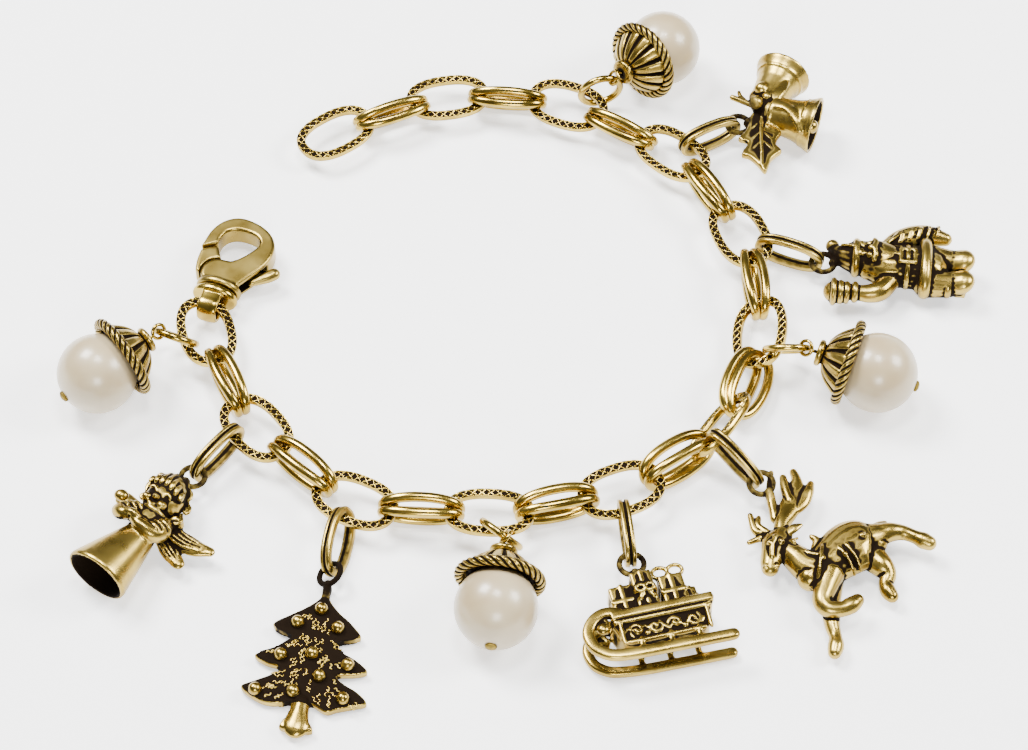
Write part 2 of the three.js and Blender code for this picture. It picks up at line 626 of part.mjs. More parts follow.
charmTable.forEach((row) => {
  const hold = wirePoint(row.link, row.place);
  const toMiddle = bailHalfLength - bailGrip - texturedWire / 2;
  const reach = toMiddle + bailHalfLength - bailGrip - eyeWire / 2;
  const pitch = Math.asin((row.eyeHeight - hold.z) / reach);
  const flat = Math.cos(pitch);
  const along = unit(row.heading);
  const ring = addPiece(bracelet, `${row.name}_bail`, bail(), gold);
  place(ring, {
    x: hold.x + along.x * flat * toMiddle,
    y: hold.y + along.y * flat * toMiddle,
    z: hold.z + Math.sin(pitch) * toMiddle,
    roll: 90 + row.lean,
    pitch: THREE.MathUtils.radToDeg(pitch),
    heading: row.heading,
  });
  const eyeReach = flat * reach + eyeRadius;
  const figure = addPiece(bracelet, `${row.name}_charm`, figures[row.name](row), darkGold);
  place(figure, {
    x: hold.x + along.x * eyeReach,
    y: hold.y + along.y * eyeReach,
    z: 0,
    roll: 0,
    pitch: 0,
    heading: row.turn,
  });
});

// Pearl drops: loop at the origin, pearl along +X
const pearlRadius = pearlDiameter / 2;
const loopRadius = (loopOpening + loopWire) / 2;
const dropLength = capReach + loopReach;
const rimRadius = capRim / 2;

function pearl() {
  const bead = new THREE.SphereGeometry(pearlRadius, 12, 8).rotateX(Math.PI / 2);
  const bore = rod([-pearlDiameter, 0, 0], [pearlDiameter, 0, 0], pearlBore / 2, pearlBore / 2, 6);
  return cut([bead], [bore]).translate(dropLength, 0, 0);
}

function pearlCap() {
  const inside = pearlRadius + capGap;
  const crown = inside + capWall;
  const rimInside = Math.sqrt(inside ** 2 - rimReach ** 2);
  const rows = [
    { x: -capReach, radius: pinDiameter / 2 + pinClearance },
    { x: -capReach, radius: capKnob / 2 },
    { x: -capReach + capKnobThickness, radius: capKnob / 2 },
    { x: -capReach + capKnobThickness, radius: capNeck / 2 },
    { x: -crown, radius: capNeck / 2 },
    { x: -crown * 0.9, radius: crown * 0.44 },
    { x: -rimReach - capRimWire / 2, radius: rimRadius - capRimWire },
    { x: -rimReach - capRimWire * 0.3, radius: rimRadius },
    { x: -rimReach + capRimWire * 0.3, radius: rimRadius },
    { x: -rimReach + capRimWire / 2, radius: rimInside + capRimWire * 0.45 },
    { x: -rimReach - capRimWire / 2, radius: rimInside - capRimWire * 0.1 },
    { x: -inside * 0.9, radius: inside * 0.44 },
    { x: -inside, radius: pinDiameter / 2 + pinClearance },
  ];
  rows.push({ ...rows[0] });
  return turned(rows, capSides).translate(dropLength, 0, 0);
}

// The loop's axis follows the jump ring's wire, and its nearest point is drawn to the shank
function headPin(axis) {
  const end = dropLength + pearlRadius;
  const loop = new THREE.TorusGeometry(loopRadius, loopWire / 2, 5, 8);
  loop.applyQuaternion(new THREE.Quaternion().setFromUnitVectors(new THREE.Vector3(0, 0, 1), axis));
  const near = new THREE.Vector3(1, 0, 0).projectOnPlane(axis).setLength(loopRadius);
  const shank = [
    { x: loopReach - 0.3, radius: pinDiameter * 0.75 },
    { x: loopReach, radius: pinDiameter / 2 },
    { x: end + 0.1, radius: pinDiameter / 2 },
    { x: end + 0.1, radius: pinHeadDiameter / 2 },
    { x: end + pinHeadDiameter / 2, radius: pinHeadDiameter * 0.3 },
  ];
  const profile = [{ x: shank[0].x, radius: 0 }, ...shank, { x: shank[shank.length - 1].x, radius: 0 }];
  const link = { half: loopWire / 2, high: loopWire / 2 };
  return fuse([
    loop,
    turned(profile, 8),
    limb([{ x: near.x, y: near.y, z: near.z, ...link }, { x: shank[0].x + 0.1, y: 0, z: 0, ...link }]),
  ]);
}

const jumpRadius = (jumpDiameter - jumpWire) / 2;
const loopShift = (loopOpening - jumpWire) / 2 - 0.1;

// A drop lies on the cap's rim and on the pearl, so its axis slopes down from the loop
const dropSlope = Math.atan2(rimRadius, rimReach) - Math.asin(pearlRadius / Math.hypot(rimRadius, rimReach));

dropTable.forEach((row, index) => {
  const hold = wirePoint(row.link, row.place);
  const inner = jumpRadius - jumpWire / 2 - texturedWire / 2 - jumpPlay;
  const reach = inner + jumpRadius + loopShift;
  const loopHeight = pearlRadius + dropLength * Math.sin(dropSlope);
  const pitch = Math.asin((loopHeight - hold.z) / reach);
  const along = unit(row.ringHeading);
  const far = new THREE.Vector3(along.x * Math.cos(pitch), along.y * Math.cos(pitch), Math.sin(pitch));
  const centre = hold.clone().addScaledVector(far, inner);
  const ring = new THREE.TorusGeometry(jumpRadius, jumpWire / 2, 5, ringSegments);
  const jump = addPiece(bracelet, numbered('jump_ring', index), ring, gold);
  const angles = { roll: 90 + row.lean, pitch: THREE.MathUtils.radToDeg(pitch), heading: row.ringHeading };
  place(jump, { x: centre.x, y: centre.y, z: centre.z, ...angles });
  const loop = hold.clone().addScaledVector(far, reach);
  const slope = { roll: 0, pitch: -THREE.MathUtils.radToDeg(dropSlope), heading: row.heading };
  const spot = { x: loop.x, y: loop.y, z: loopHeight, ...slope };
  const bead = place(addPiece(bracelet, numbered('pearl', index), pearl(), pearlWhite), spot);
  place(addPiece(bracelet, numbered('pearl_cap', index), pearlCap(), darkGold), spot);
  // The ring's wire where the loop hangs on it, seen from the drop
  const wire = new THREE.Vector3(0, 1, 0).applyQuaternion(jump.quaternion);
  wire.applyQuaternion(bead.quaternion.clone().invert());
  place(addPiece(bracelet, numbered('head_pin', index), headPin(wire), gold), spot);
});

// Clasp: origin on the wire of the first link, hook along +X, flat sides up and down
const clasp = new THREE.Group();
const claspHeading = 72;
const claspTurn = radians(claspHeading - texturedTable[0].heading);
const claspPull = ovalSupport(texturedHalfLength, texturedHalfWidth, claspTurn);
const claspHold = texturedLinks[0].localToWorld(new THREE.Vector3(claspPull.x, claspPull.y, 0));
const claspRise = claspCollarHeight / 2;
clasp.position.set(claspHold.x, claspHold.y, claspRise);
clasp.rotation.z = radians(claspHeading);
bracelet.add(clasp);

const loopInner = -(texturedWire / 2 + 0.85);
const loopFar = loopInner + claspLoopOpening;
const swivelStart = loopFar;
const bodyStart = swivelStart + claspCollarThickness + claspCollarGap;
const plateStart = bodyStart + claspCollarThickness;

function collar(x) {
  const disc = turned([
    { x: 0, radius: 0 }, { x: 0, radius: 0.45 }, { x: 0.25 * claspCollarThickness, radius: 0.5 },
    { x: 0.75 * claspCollarThickness, radius: 0.5 }, { x: claspCollarThickness, radius: 0.45 },
    { x: claspCollarThickness, radius: 0 },
  ], 14);
  return disc.scale(1, claspCollarWidth, claspCollarHeight).translate(x, 0, 0);
}

// Plate with its flat sides square to Z, centred on z = 0
function slabOf(outline, thickness) {
  return plate(outline, thickness).translate(0, 0, -thickness / 2);
}

function swivelBail() {
  const outer = new THREE.Shape();
  const halfHeight = claspLoopHeight / 2;
  const wall = claspLoopThickness;
  outer.moveTo(loopFar + wall, halfHeight + wall);
  outer.lineTo(loopInner + halfHeight * 0.6, halfHeight + wall);
  outer.quadraticCurveTo(loopInner - wall, halfHeight + wall, loopInner - wall, 0);
  outer.quadraticCurveTo(loopInner - wall, -halfHeight - wall, loopInner + halfHeight * 0.6, -halfHeight - wall);
  outer.lineTo(loopFar + wall, -halfHeight - wall);
  const hole = new THREE.Path();
  hole.moveTo(loopFar, halfHeight);
  hole.lineTo(loopInner + halfHeight * 0.5, halfHeight);
  hole.quadraticCurveTo(loopInner, halfHeight, loopInner, 0);
  hole.quadraticCurveTo(loopInner, -halfHeight, loopInner + halfHeight * 0.5, -halfHeight);
  hole.lineTo(loopFar, -halfHeight);
  outer.holes.push(hole);
  const strap = slabOf(outer, claspLoopWidth).rotateX(Math.PI / 2);
  const postRadius = claspPostDiameter / 2;
  const post = rod([swivelStart + 0.3, 0, 0], [plateStart - 0.6, 0, 0], postRadius, postRadius, 10);
  return fuse([strap, collar(swivelStart), post]);
}

// Hook outline as shares of the clasp's length beyond the collar, from the collar up the right side
const hookScale = claspLength - 2.1;
const pivot = { x: plateStart + 0.11 * hookScale, y: 0.07 * hookScale };
const gateInside = 0.2 * hookScale;

function hookShape() {
  const spot = (x, y) => [plateStart + x * hookScale, y * hookScale];
  const shape = new THREE.Shape();
  shape.moveTo(...spot(-0.05, -0.2));
  shape.bezierCurveTo(...spot(0.2, -0.34), ...spot(0.38, -0.47), ...spot(0.58, -0.46));
  shape.bezierCurveTo(...spot(0.84, -0.45), ...spot(0.97, -0.2), ...spot(0.98, 0.04));
  shape.bezierCurveTo(...spot(0.98, 0.24), ...spot(0.8, 0.37), ...spot(0.6, 0.385));
  shape.lineTo(...spot(0.42, 0.4));
  shape.lineTo(...spot(0.53, 0.22));
  shape.bezierCurveTo(...spot(0.66, 0.24), ...spot(0.78, 0.18), ...spot(0.79, 0.03));
  shape.bezierCurveTo(...spot(0.8, -0.16), ...spot(0.74, -0.27), ...spot(0.62, -0.25));
  shape.bezierCurveTo(...spot(0.5, -0.2), ...spot(0.36, -0.1), ...spot(0.3, 0.0));
  shape.lineTo(pivot.x + gateInside, pivot.y - 0.02 * hookScale);
  shape.absarc(pivot.x, pivot.y, gateInside, 0, radians(115), false);
  shape.lineTo(...spot(-0.05, 0.2));
  return shape;
}

function claspBody() {
  const edge = 0.3;
  const hook = new THREE.ExtrudeGeometry(hookShape(), {
    depth: claspThickness - 2 * edge,
    bevelThickness: edge,
    bevelSize: edge * 0.6,
    bevelOffset: -edge * 0.6,
    bevelSegments: 1,
    curveSegments: 5,
  }).translate(0, 0, edge - claspThickness / 2);
  const slot = new THREE.BoxGeometry(0.42 * hookScale, 2 * hookScale, claspSlot);
  slot.translate(plateStart + 0.22 * hookScale, 0, 0);
  const postRoom = claspPostDiameter / 2 + 0.2;
  const bore = rod([bodyStart - 1, 0, 0], [plateStart - 0.35, 0, 0], postRoom, postRoom, 10);
  const pinReach = claspThickness / 2 - 0.2;
  const pinRadius = claspPivotDiameter / 2;
  const pin = rod([pivot.x, pivot.y, -pinReach], [pivot.x, pivot.y, pinReach], pinRadius, pinRadius, 8);
  const shell = join([hook]).subtract(join([slot]));
  return geometryOf(shell.add(join([pin, collar(bodyStart)])).subtract(join([bore])));
}

function claspLever() {
  const local = (radius, degrees) => {
    return [pivot.x + radius * Math.cos(radians(degrees)), pivot.y + radius * Math.sin(radians(degrees))];
  };
  const gap = gateInside + leverGap;
  const gate = new THREE.Shape();
  gate.moveTo(...local(gap, 10));
  gate.lineTo(...local(0.395 * hookScale, 19));
  gate.lineTo(...local(0.42 * hookScale, 49));
  gate.bezierCurveTo(...local(0.35 * hookScale, 65), ...local(0.31 * hookScale, 80), ...local(gap + 0.45, 105));
  gate.lineTo(...local(gap, 105));
  gate.absarc(pivot.x, pivot.y, gap, radians(105), radians(10), true);
  const hub = new THREE.Shape();
  hub.absarc(pivot.x, pivot.y, 0.09 * hookScale, radians(-100), radians(120), true);
  hub.lineTo(...local(gap + 0.2, 92));
  hub.lineTo(...local(gap + 0.2, 30));
  const knob = local(0.56 * hookScale, -70);
  const web = slabOf(hub, leverThickness);
  const arm = new THREE.BoxGeometry(0.56 * hookScale, 0.11 * hookScale, leverThickness);
  arm.translate(0.28 * hookScale, 0, 0).rotateZ(radians(-70)).translate(pivot.x, pivot.y, 0);
  const grip = ball([knob[0], knob[1], 0], leverKnob / 2, { x: 1, y: 1, z: 0.95 });
  const hole = claspPivotDiameter / 2 + 0.2;
  const bore = rod([pivot.x, pivot.y, -2], [pivot.x, pivot.y, 2], hole, hole, 8);
  return cut([slabOf(gate, claspThickness - 0.3), web, arm, grip], [bore]);
}

addPiece(clasp, 'clasp_swivel_bail', swivelBail(), gold);
addPiece(clasp, 'clasp_body', claspBody(), gold);
addPiece(clasp, 'clasp_lever', claspLever(), gold);

// Origin: middle of the footprint, on the surface
const box = new THREE.Box3().setFromObject(bracelet, true);
const centre = box.getCenter(new THREE.Vector3());
bracelet.position.set(-centre.x, -centre.y, -box.min.z);
bracelet.updateMatrixWorld(true);

export default bracelet;
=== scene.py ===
# Looks of the charm bracelet: every piece is a surface worked out in millimetres and set into the CAD frame.
import bpy
import numpy as np
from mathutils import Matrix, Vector


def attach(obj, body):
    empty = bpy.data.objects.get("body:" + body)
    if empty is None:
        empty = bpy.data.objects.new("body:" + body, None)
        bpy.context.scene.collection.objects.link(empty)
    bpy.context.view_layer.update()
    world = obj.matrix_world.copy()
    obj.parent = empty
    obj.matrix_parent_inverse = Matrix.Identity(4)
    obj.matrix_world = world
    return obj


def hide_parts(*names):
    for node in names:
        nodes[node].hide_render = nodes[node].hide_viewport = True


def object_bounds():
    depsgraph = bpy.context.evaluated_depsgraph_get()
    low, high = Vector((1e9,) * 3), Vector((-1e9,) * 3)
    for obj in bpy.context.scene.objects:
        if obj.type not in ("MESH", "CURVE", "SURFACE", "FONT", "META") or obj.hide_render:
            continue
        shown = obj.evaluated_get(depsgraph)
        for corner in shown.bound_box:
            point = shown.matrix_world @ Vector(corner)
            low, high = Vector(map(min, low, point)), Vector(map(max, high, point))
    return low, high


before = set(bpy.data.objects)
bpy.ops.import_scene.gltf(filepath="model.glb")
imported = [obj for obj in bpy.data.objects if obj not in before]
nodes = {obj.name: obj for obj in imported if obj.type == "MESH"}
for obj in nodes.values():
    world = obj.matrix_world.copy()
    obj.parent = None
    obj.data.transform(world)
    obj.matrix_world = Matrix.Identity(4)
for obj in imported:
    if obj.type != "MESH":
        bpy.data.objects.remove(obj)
cadBox = [list(corner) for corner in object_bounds()]
mm = 0.001
tau = 2 * np.pi
print("frame loaded:", len(nodes), "nodes")


# Frame: where the CAD pieces lie

def cornersOf(node):
    # corners of a CAD node in millimetres
    mesh = nodes[node].data
    flat = np.empty(len(mesh.vertices) * 3)
    mesh.vertices.foreach_get("co", flat)
    return flat.reshape(-1, 3) / mm


def centreOf(node):
    corners = cornersOf(node)
    return (corners.min(0) + corners.max(0)) / 2


def axesOf(node, towards=None):
    # centre and unit axes, from the widest spread of the corners to the least; the first may face a point
    corners = cornersOf(node)
    mean = corners.mean(0)
    turn = np.linalg.eigh(np.cov((corners - mean).T))[1][:, ::-1].copy()
    if towards is not None and turn[:, 0] @ (towards - mean) < 0:
        turn[:, 0] *= -1
    if turn[2, 2] < 0:
        turn[:, 2] *= -1
    turn[:, 1] = np.cross(turn[:, 2], turn[:, 0])
    return centreOf(node), turn


def thingOf(name, data):
    # object in the scene, at the origin
    thing = bpy.data.objects.new(name, data)
    bpy.context.scene.collection.objects.link(thing)
    return thing


def normed(vectors):
    return vectors / np.linalg.norm(vectors, axis=-1, keepdims=True)


def aheadOf(path):
    # unit direction at each point of a closed path
    return normed(np.roll(path, -1, 0) - np.roll(path, 1, 0))


def circle(count, radius=1.0):
    angle = tau * np.arange(count) / count
    return np.stack([np.cos(angle), np.sin(angle), 0 * angle], -1) * radius


def unit(degrees):
    return np.array([np.cos(np.radians(degrees)), np.sin(np.radians(degrees)), 0.0])


def turnAbout(axis, degrees):
    # matrix of a turn about X, Y or Z
    c, s = np.cos(np.radians(degrees)), np.sin(np.radians(degrees))
    turns = {"x": [[1, 0, 0], [0, c, -s], [0, s, c]], "y": [[c, 0, s], [0, 1, 0], [-s, 0, c]],
             "z": [[c, -s, 0], [s, c, 0], [0, 0, 1]]}
    return np.array(turns[axis])


# Shapes: each is (points, four-sided faces, three-sided faces)

def loft(rings, ends=None):
    # skins an array of rings (row, place in ring, xyz); with no ends the rows close on themselves
    rows, columns = rings.shape[:2]
    steps = np.arange(rows if ends is None else rows - 1)
    i, j = np.meshgrid(steps, np.arange(columns), indexing="ij")
    k, below = (j + 1) % columns, (i + 1) % rows
    quads = np.stack([i * columns + j, i * columns + k, below * columns + k, below * columns + j], -1)
    quads = quads.reshape(-1, 4)
    points = rings.reshape(-1, 3)
    if ends is None:
        return points, quads, np.empty((0, 3), int)
    last = (rows - 1) * columns
    j = np.arange(columns)
    k = (j + 1) % columns
    first = np.stack([k, j, np.full(columns, rows * columns)], -1)
    final = np.stack([last + j, last + k, np.full(columns, rows * columns + 1)], -1)
    return np.vstack([points, ends[0], ends[1]]), quads, np.vstack([first, final])


def outward(shape):
    # turns the faces round if the volume inside them comes out negative
    points, quads, tris = shape
    every = np.vstack([quads[:, [0, 1, 2]], quads[:, [0, 2, 3]], tris])
    a, b, c = points[every[:, 0]], points[every[:, 1]], points[every[:, 2]]
    if (a * np.cross(b, c)).sum() < 0:
        return points, quads[:, ::-1], tris[:, ::-1]
    return shape


def merge(shapes):
    points, quads, tris, start = [], [], [], 0
    for shape in map(outward, shapes):
        points.append(shape[0])
        quads.append(shape[1] + start)
        tris.append(shape[2] + start)
        start += len(shape[0])
    return np.vstack(points), np.vstack(quads), np.vstack(tris)


def moved(shape, turn=None, by=(0, 0, 0)):
    points = shape[0] if turn is None else shape[0] @ np.asarray(turn).T
    return points + np.asarray(by), shape[1], shape[2]


def cubicRun(rows, steps):
    # cubic between each two rows apart from the outer ones, with slopes from their neighbours
    t = (np.arange(steps) / steps)[None, :, None]
    a, b, c, d = (rows[k:len(rows) - 3 + k, None] for k in range(4))
    run = b + 0.5 * t * (c - a + t * (2 * a - 5 * b + 4 * c - d + t * (3 * (b - c) + d - a)))
    return run.reshape(-1, rows.shape[1])


def splined(rows, steps):
    # smooth run through the rows
    rows = np.asarray(rows, float)
    if len(rows) < 3:
        t = np.linspace(0, 1, steps + 1)[:, None]
        return rows[0] * (1 - t) + rows[1] * t
    padded = np.vstack([2 * rows[0] - rows[1], rows, 2 * rows[-1] - rows[-2]])
    return np.vstack([cubicRun(padded, steps), rows[-1]])


def swept(path, side, across, lift, above):
    # section set at each point of the path: point + side * across + lift * above
    return path[:, None] + side[:, None] * across[..., None] + lift * above[..., None]


def tube(path, half, high=None, up=(0, 0, 1), around=12, closed=False, power=2.0):
    # section |y/half|^power + |z/high|^power = 1 carried along the path, with round ends if it is open
    path = np.asarray(path, float)
    half = np.broadcast_to(np.asarray(half, float), len(path))
    high = half if high is None else np.broadcast_to(np.asarray(high, float), len(path))
    ahead = aheadOf(path) if closed else normed(np.gradient(path, axis=0))
    ends = None
    if not closed:
        bulge = np.array([1.0, 0.92, 0.7, 0.38])
        shrink = np.sqrt(1 - bulge ** 2 * 0.98)
        path = np.vstack([path[0] - ahead[0] * (bulge * half[0])[:, None], path,
                          path[-1] + ahead[-1] * (bulge[::-1] * half[-1])[:, None]])
        ahead = np.vstack([np.repeat(ahead[:1], 4, 0), ahead, np.repeat(ahead[-1:], 4, 0)])
        half = np.concatenate([half[0] * shrink, half, half[-1] * shrink[::-1]])
        high = np.concatenate([high[0] * shrink, high, high[-1] * shrink[::-1]])
        ends = (path[0], path[-1])
    side = np.cross(np.broadcast_to(np.asarray(up, float), ahead.shape), ahead)
    side /= np.linalg.norm(side, axis=1, keepdims=True) + 1e-9
    lift = np.cross(ahead, side)
    angle = tau * np.arange(around) / around
    c, s = np.cos(angle), np.sin(angle)
    across = np.sign(c) * np.abs(c) ** (2 / power)
    above = np.sign(s) * np.abs(s) ** (2 / power)
    return loft(swept(path, side, half[:, None] * across, lift[:, None], high[:, None] * above), ends)


def limb(rows, around=12, steps=5, power=2.0):
    # tube through rows of x, y, z, half width and half height
    rows = np.array([row if len(row) == 5 else (*row, row[3]) for row in rows], float)
    run = splined(rows, steps)
    return tube(run[:, :3], np.abs(run[:, 3]), np.abs(run[:, 4]), around=around, power=power)


def ball(x, y, z, radius, wide=1.0, high=1.0):
    # sphere drawn out along Y and Z
    latitude = np.linspace(0, np.pi, 15)[1:-1, None]
    angle = tau * np.arange(20)[None] / 20
    rings = np.stack([np.sin(latitude) * np.cos(angle), np.sin(latitude) * np.sin(angle),
                      np.cos(latitude) + 0 * angle], -1)
    size = radius * np.array([1, wide, high])
    return moved(loft(rings * size, (size * [0, 0, 1], size * [0, 0, -1])), by=(x, y, z))


def turned(rows, around, closed=False):
    # profile of distance along X and radius, turned about X
    rows = np.asarray(rows, float)
    angle = tau * np.arange(around) / around
    rings = np.stack([np.repeat(rows[:, :1], around, 1), rows[:, 1:] * np.cos(angle),
                      rows[:, 1:] * np.sin(angle)], -1)
    return loft(rings, None if closed else ([rows[0, 0], 0, 0], [rows[-1, 0], 0, 0]))


def plate(outline, low, high, edge=0.2, steps=4):
    # flat outline drawn up from low to high, its edges rounded by stepping the outline in along its normals
    outline = np.asarray(outline, float)
    inward = aheadOf(outline)[:, ::-1] * [-1, 1]
    x, y = outline.T
    if (x * np.roll(y, -1) - y * np.roll(x, -1)).sum() < 0:
        inward = -inward
    angle = np.linspace(0, np.pi / 2, steps)
    inset = edge * (1 - np.sin(angle))
    inset = np.concatenate([inset, inset[::-1]])
    height = np.concatenate([low + edge * (1 - np.cos(angle)), high - edge * (1 - np.cos(angle[::-1]))])
    flat = outline[None] + inward[None] * inset[:, None, None]
    rings = np.concatenate([flat, np.broadcast_to(height[:, None, None], (*flat.shape[:2], 1))], -1)
    rows, columns = rings.shape[:2]
    body = loft(rings, (rings[0].mean(0), rings[-1].mean(0)))
    # each flat face is filled as one many-sided face and then cut into triangles
    mesh = bpy.data.meshes.new("fill")
    mesh.from_pydata(np.vstack([rings[0], rings[-1]]).tolist(), [],
                     [list(range(columns))[::-1], list(range(columns, 2 * columns))])
    mesh.calc_loop_triangles()
    tris = np.empty(len(mesh.loop_triangles) * 3, int)
    mesh.loop_triangles.foreach_get("vertices", tris)
    bpy.data.meshes.remove(mesh)
    tris = np.where(tris < columns, tris, tris + (rows - 2) * columns).reshape(-1, 3)
    return body[0][:-2], body[1], tris


def bentOutline(points, steps=6):
    # smooth closed outline through all the points
    points = np.asarray(points, float)
    return cubicRun(np.vstack([points[-1], points, points[0], points[1]]), steps)


def densified(points, step):
    # straight-sided outline with points no further apart than the step
    points = np.asarray(points, float)
    pieces = []
    for start, end in zip(points, np.roll(points, -1, 0)):
        count = max(1, int(np.ceil(np.linalg.norm(end - start) / step)))
        pieces.append(start + (end - start) * (np.arange(count) / count)[:, None])
    return np.vstack(pieces)


def block(x, y, z, edge=0.15):
    # box with rounded edges between two values on each axis
    hx, hy = (x[1] - x[0]) / 2, (y[1] - y[0]) / 2
    outline = densified([(-hx, -hy), (hx, -hy), (hx, hy), (-hx, hy)], 0.5)
    return moved(plate(outline, z[0], z[1], edge), by=((x[0] + x[1]) / 2, (y[0] + y[1]) / 2, 0))


def meshOf(name, shape):
    points, quads, tris = shape
    mesh = bpy.data.meshes.new(name)
    mesh.vertices.add(len(points))
    mesh.vertices.foreach_set("co", points.astype(np.float32).ravel())
    corners = np.concatenate([quads.ravel(), tris.ravel()]).astype(np.int32)
    sizes = np.concatenate([np.full(len(quads), 4), np.full(len(tris), 3)])
    mesh.loops.add(len(corners))
    mesh.loops.foreach_set("vertex_index", corners)
    mesh.polygons.add(len(sizes))
    mesh.polygons.foreach_set("loop_start", (np.cumsum(sizes) - sizes).astype(np.int32))
    mesh.polygons.foreach_set("use_smooth", np.ones(len(sizes), bool))
    mesh.update(calc_edges=True)
    return mesh


def fused(shapes, voxel=0.138, rounds=2):
    # one skin round overlapping shapes: a voxel remesh, and then some rounds of levelling
    thing = thingOf("fusing", meshOf("fusing", merge(shapes)))
    skin = thing.modifiers.new("skin", "REMESH")
    skin.mode = "VOXEL"
    skin.voxel_size = voxel
    evaluated = thing.evaluated_get(bpy.context.evaluated_depsgraph_get())
    mesh = evaluated.to_mesh()
    points = np.empty(len(mesh.vertices) * 3)
    mesh.vertices.foreach_get("co", points)
    corners = np.empty(len(mesh.loops), int)
    mesh.loops.foreach_get("vertex_index", corners)
    evaluated.to_mesh_clear()
    bpy.data.objects.remove(thing)
    points, quads = points.reshape(-1, 3), corners.reshape(-1, 4)
    return levelled(points, quads, rounds, 0.5), quads, np.empty((0, 3), int)


def levelled(points, quads, rounds, pull):
    # draws each point a share of the way to the mean of its neighbours, again and again
    edges = np.vstack([quads[:, [k, (k + 1) % 4]] for k in range(4)])
    a, b = np.concatenate([edges[:, 0], edges[:, 1]]), np.concatenate([edges[:, 1], edges[:, 0]])
    count = np.bincount(a, minlength=len(points))[:, None]
    for step in range(rounds):
        mean = np.stack([np.bincount(a, v[b], len(points)) for v in points.T], -1) / count
        points = points + pull * (mean - points)
    return points


def normalsOf(shape):
    points, quads = shape[:2]
    face = np.cross(points[quads[:, 2]] - points[quads[:, 0]], points[quads[:, 3]] - points[quads[:, 1]])
    total = np.stack([sum(np.bincount(quads[:, k], face[:, axis], len(points)) for k in range(4))
                      for axis in range(3)], -1)
    return total / (np.linalg.norm(total, axis=1, keepdims=True) + 1e-12)


def reliefOf(shape, rounds, reach):
    # how far each point stands above its levelled surroundings, along its normal, as a share of the reach
    return ((shape[0] - levelled(*shape[:2], rounds, 0.6)) * normalsOf(shape)).sum(1) / reach


def patinaAndShadeOf(shape, reach=0.16, rounds=30):
    # 0 in patina-filled recesses and 1 on high places, and darker where the surface faces down, which is
    # painted shade
    facing = np.clip(normalsOf(shape)[:, 2], -1, 0) * 0.5
    tight = reliefOf(shape, rounds // 4, reach * 0.35)
    return np.clip(0.52 + 0.95 * reliefOf(shape, rounds, reach) + 0.5 * tight + facing, 0, 1)


def addPiece(name, shape, node, material, wearAndShade=None, body="bracelet"):
    shape = outward(shape)
    mesh = meshOf(name, (shape[0] * mm, shape[1], shape[2]))
    # the wear attribute holds both worn gold and painted shade
    if wearAndShade is not None:
        layer = mesh.attributes.new("wearAndShade", "FLOAT", "POINT")
        layer.data.foreach_set("value", np.clip(wearAndShade, 0, 1).astype(np.float32))
    piece = thingOf(name, mesh)
    mesh.materials.append(material)
    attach(piece, body)
    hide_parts(node)


# Materials

class Value:
    # socket whose sums and products become Math nodes
    def __init__(self, maker, socket):
        self.maker = maker
        self.socket = socket

    def math(self, operation, *others):
        return self.maker.add("ShaderNodeMath", {"operation": operation}, dict(enumerate(others)))

    __add__ = lambda self, other: self.math("ADD", self, other)
    __radd__ = lambda self, other: self.math("ADD", other, self)
    __sub__ = lambda self, other: self.math("SUBTRACT", self, other)
    __rsub__ = lambda self, other: self.math("SUBTRACT", other, self)
    __mul__ = lambda self, other: self.math("MULTIPLY", self, other)
    __rmul__ = lambda self, other: self.math("MULTIPLY", other, self)

    def ramp(self, low, high):
        # smooth step from 0 at low to 1 at high
        return self.maker.add("ShaderNodeMapRange", {"interpolation_type": "SMOOTHSTEP"},
                              {0: self, 1: low, 2: high})


class Maker:
    # builds one material's nodes
    def __init__(self, name):
        self.material = bpy.data.materials.new(name)
        self.material.use_nodes = True
        self.tree = self.material.node_tree
        self.surface = self.tree.nodes["Principled BSDF"]

    def add(self, kind, settings=None, inputs=None, output=0):
        node = self.tree.nodes.new(kind)
        for key, item in (settings or {}).items():
            setattr(node, key, item)
        self.feed(node, inputs or {})
        return Value(self, node.outputs[output])

    def feed(self, node, inputs):
        for key, item in inputs.items():
            if isinstance(item, Value):
                self.tree.links.new(item.socket, node.inputs[key])
            else:
                node.inputs[key].default_value = item

    def mix(self, factor, first, second):
        return self.add("ShaderNodeMix", {"data_type": "RGBA"}, {0: factor, 6: first, 7: second}, 2)

    def noise(self, scale, detail=3.0):
        place = self.add("ShaderNodeTexCoord", output=3)
        return self.add("ShaderNodeTexNoise", {}, {"Vector": place, "Scale": scale, "Detail": detail})

    def attribute(self, name):
        return self.add("ShaderNodeAttribute", {"attribute_name": name}, output=2)

    def bump(self, height, strength, distance):
        return self.add("ShaderNodeBump", {}, {"Height": height, "Strength": strength, "Distance": distance})


def colour(red, green, blue):
    return (red, green, blue, 1.0)


goldLook = {
    "bright": colour(0.53, 0.375, 0.072), "deep": colour(0.2, 0.125, 0.016),
    # the patina colour also paints shade on faces that turn down or lie low
    "patinaAndShade": colour(0.007, 0.004, 0.002),
    "smooth": 0.14, "patinaAndShadeRough": 0.6, "speckScale": 1400, "cloudScale": 260, "speckShare": 0.28,
    "cloudShare": 0.22, "tint": 0.35, "cloudRough": 0.14,
}


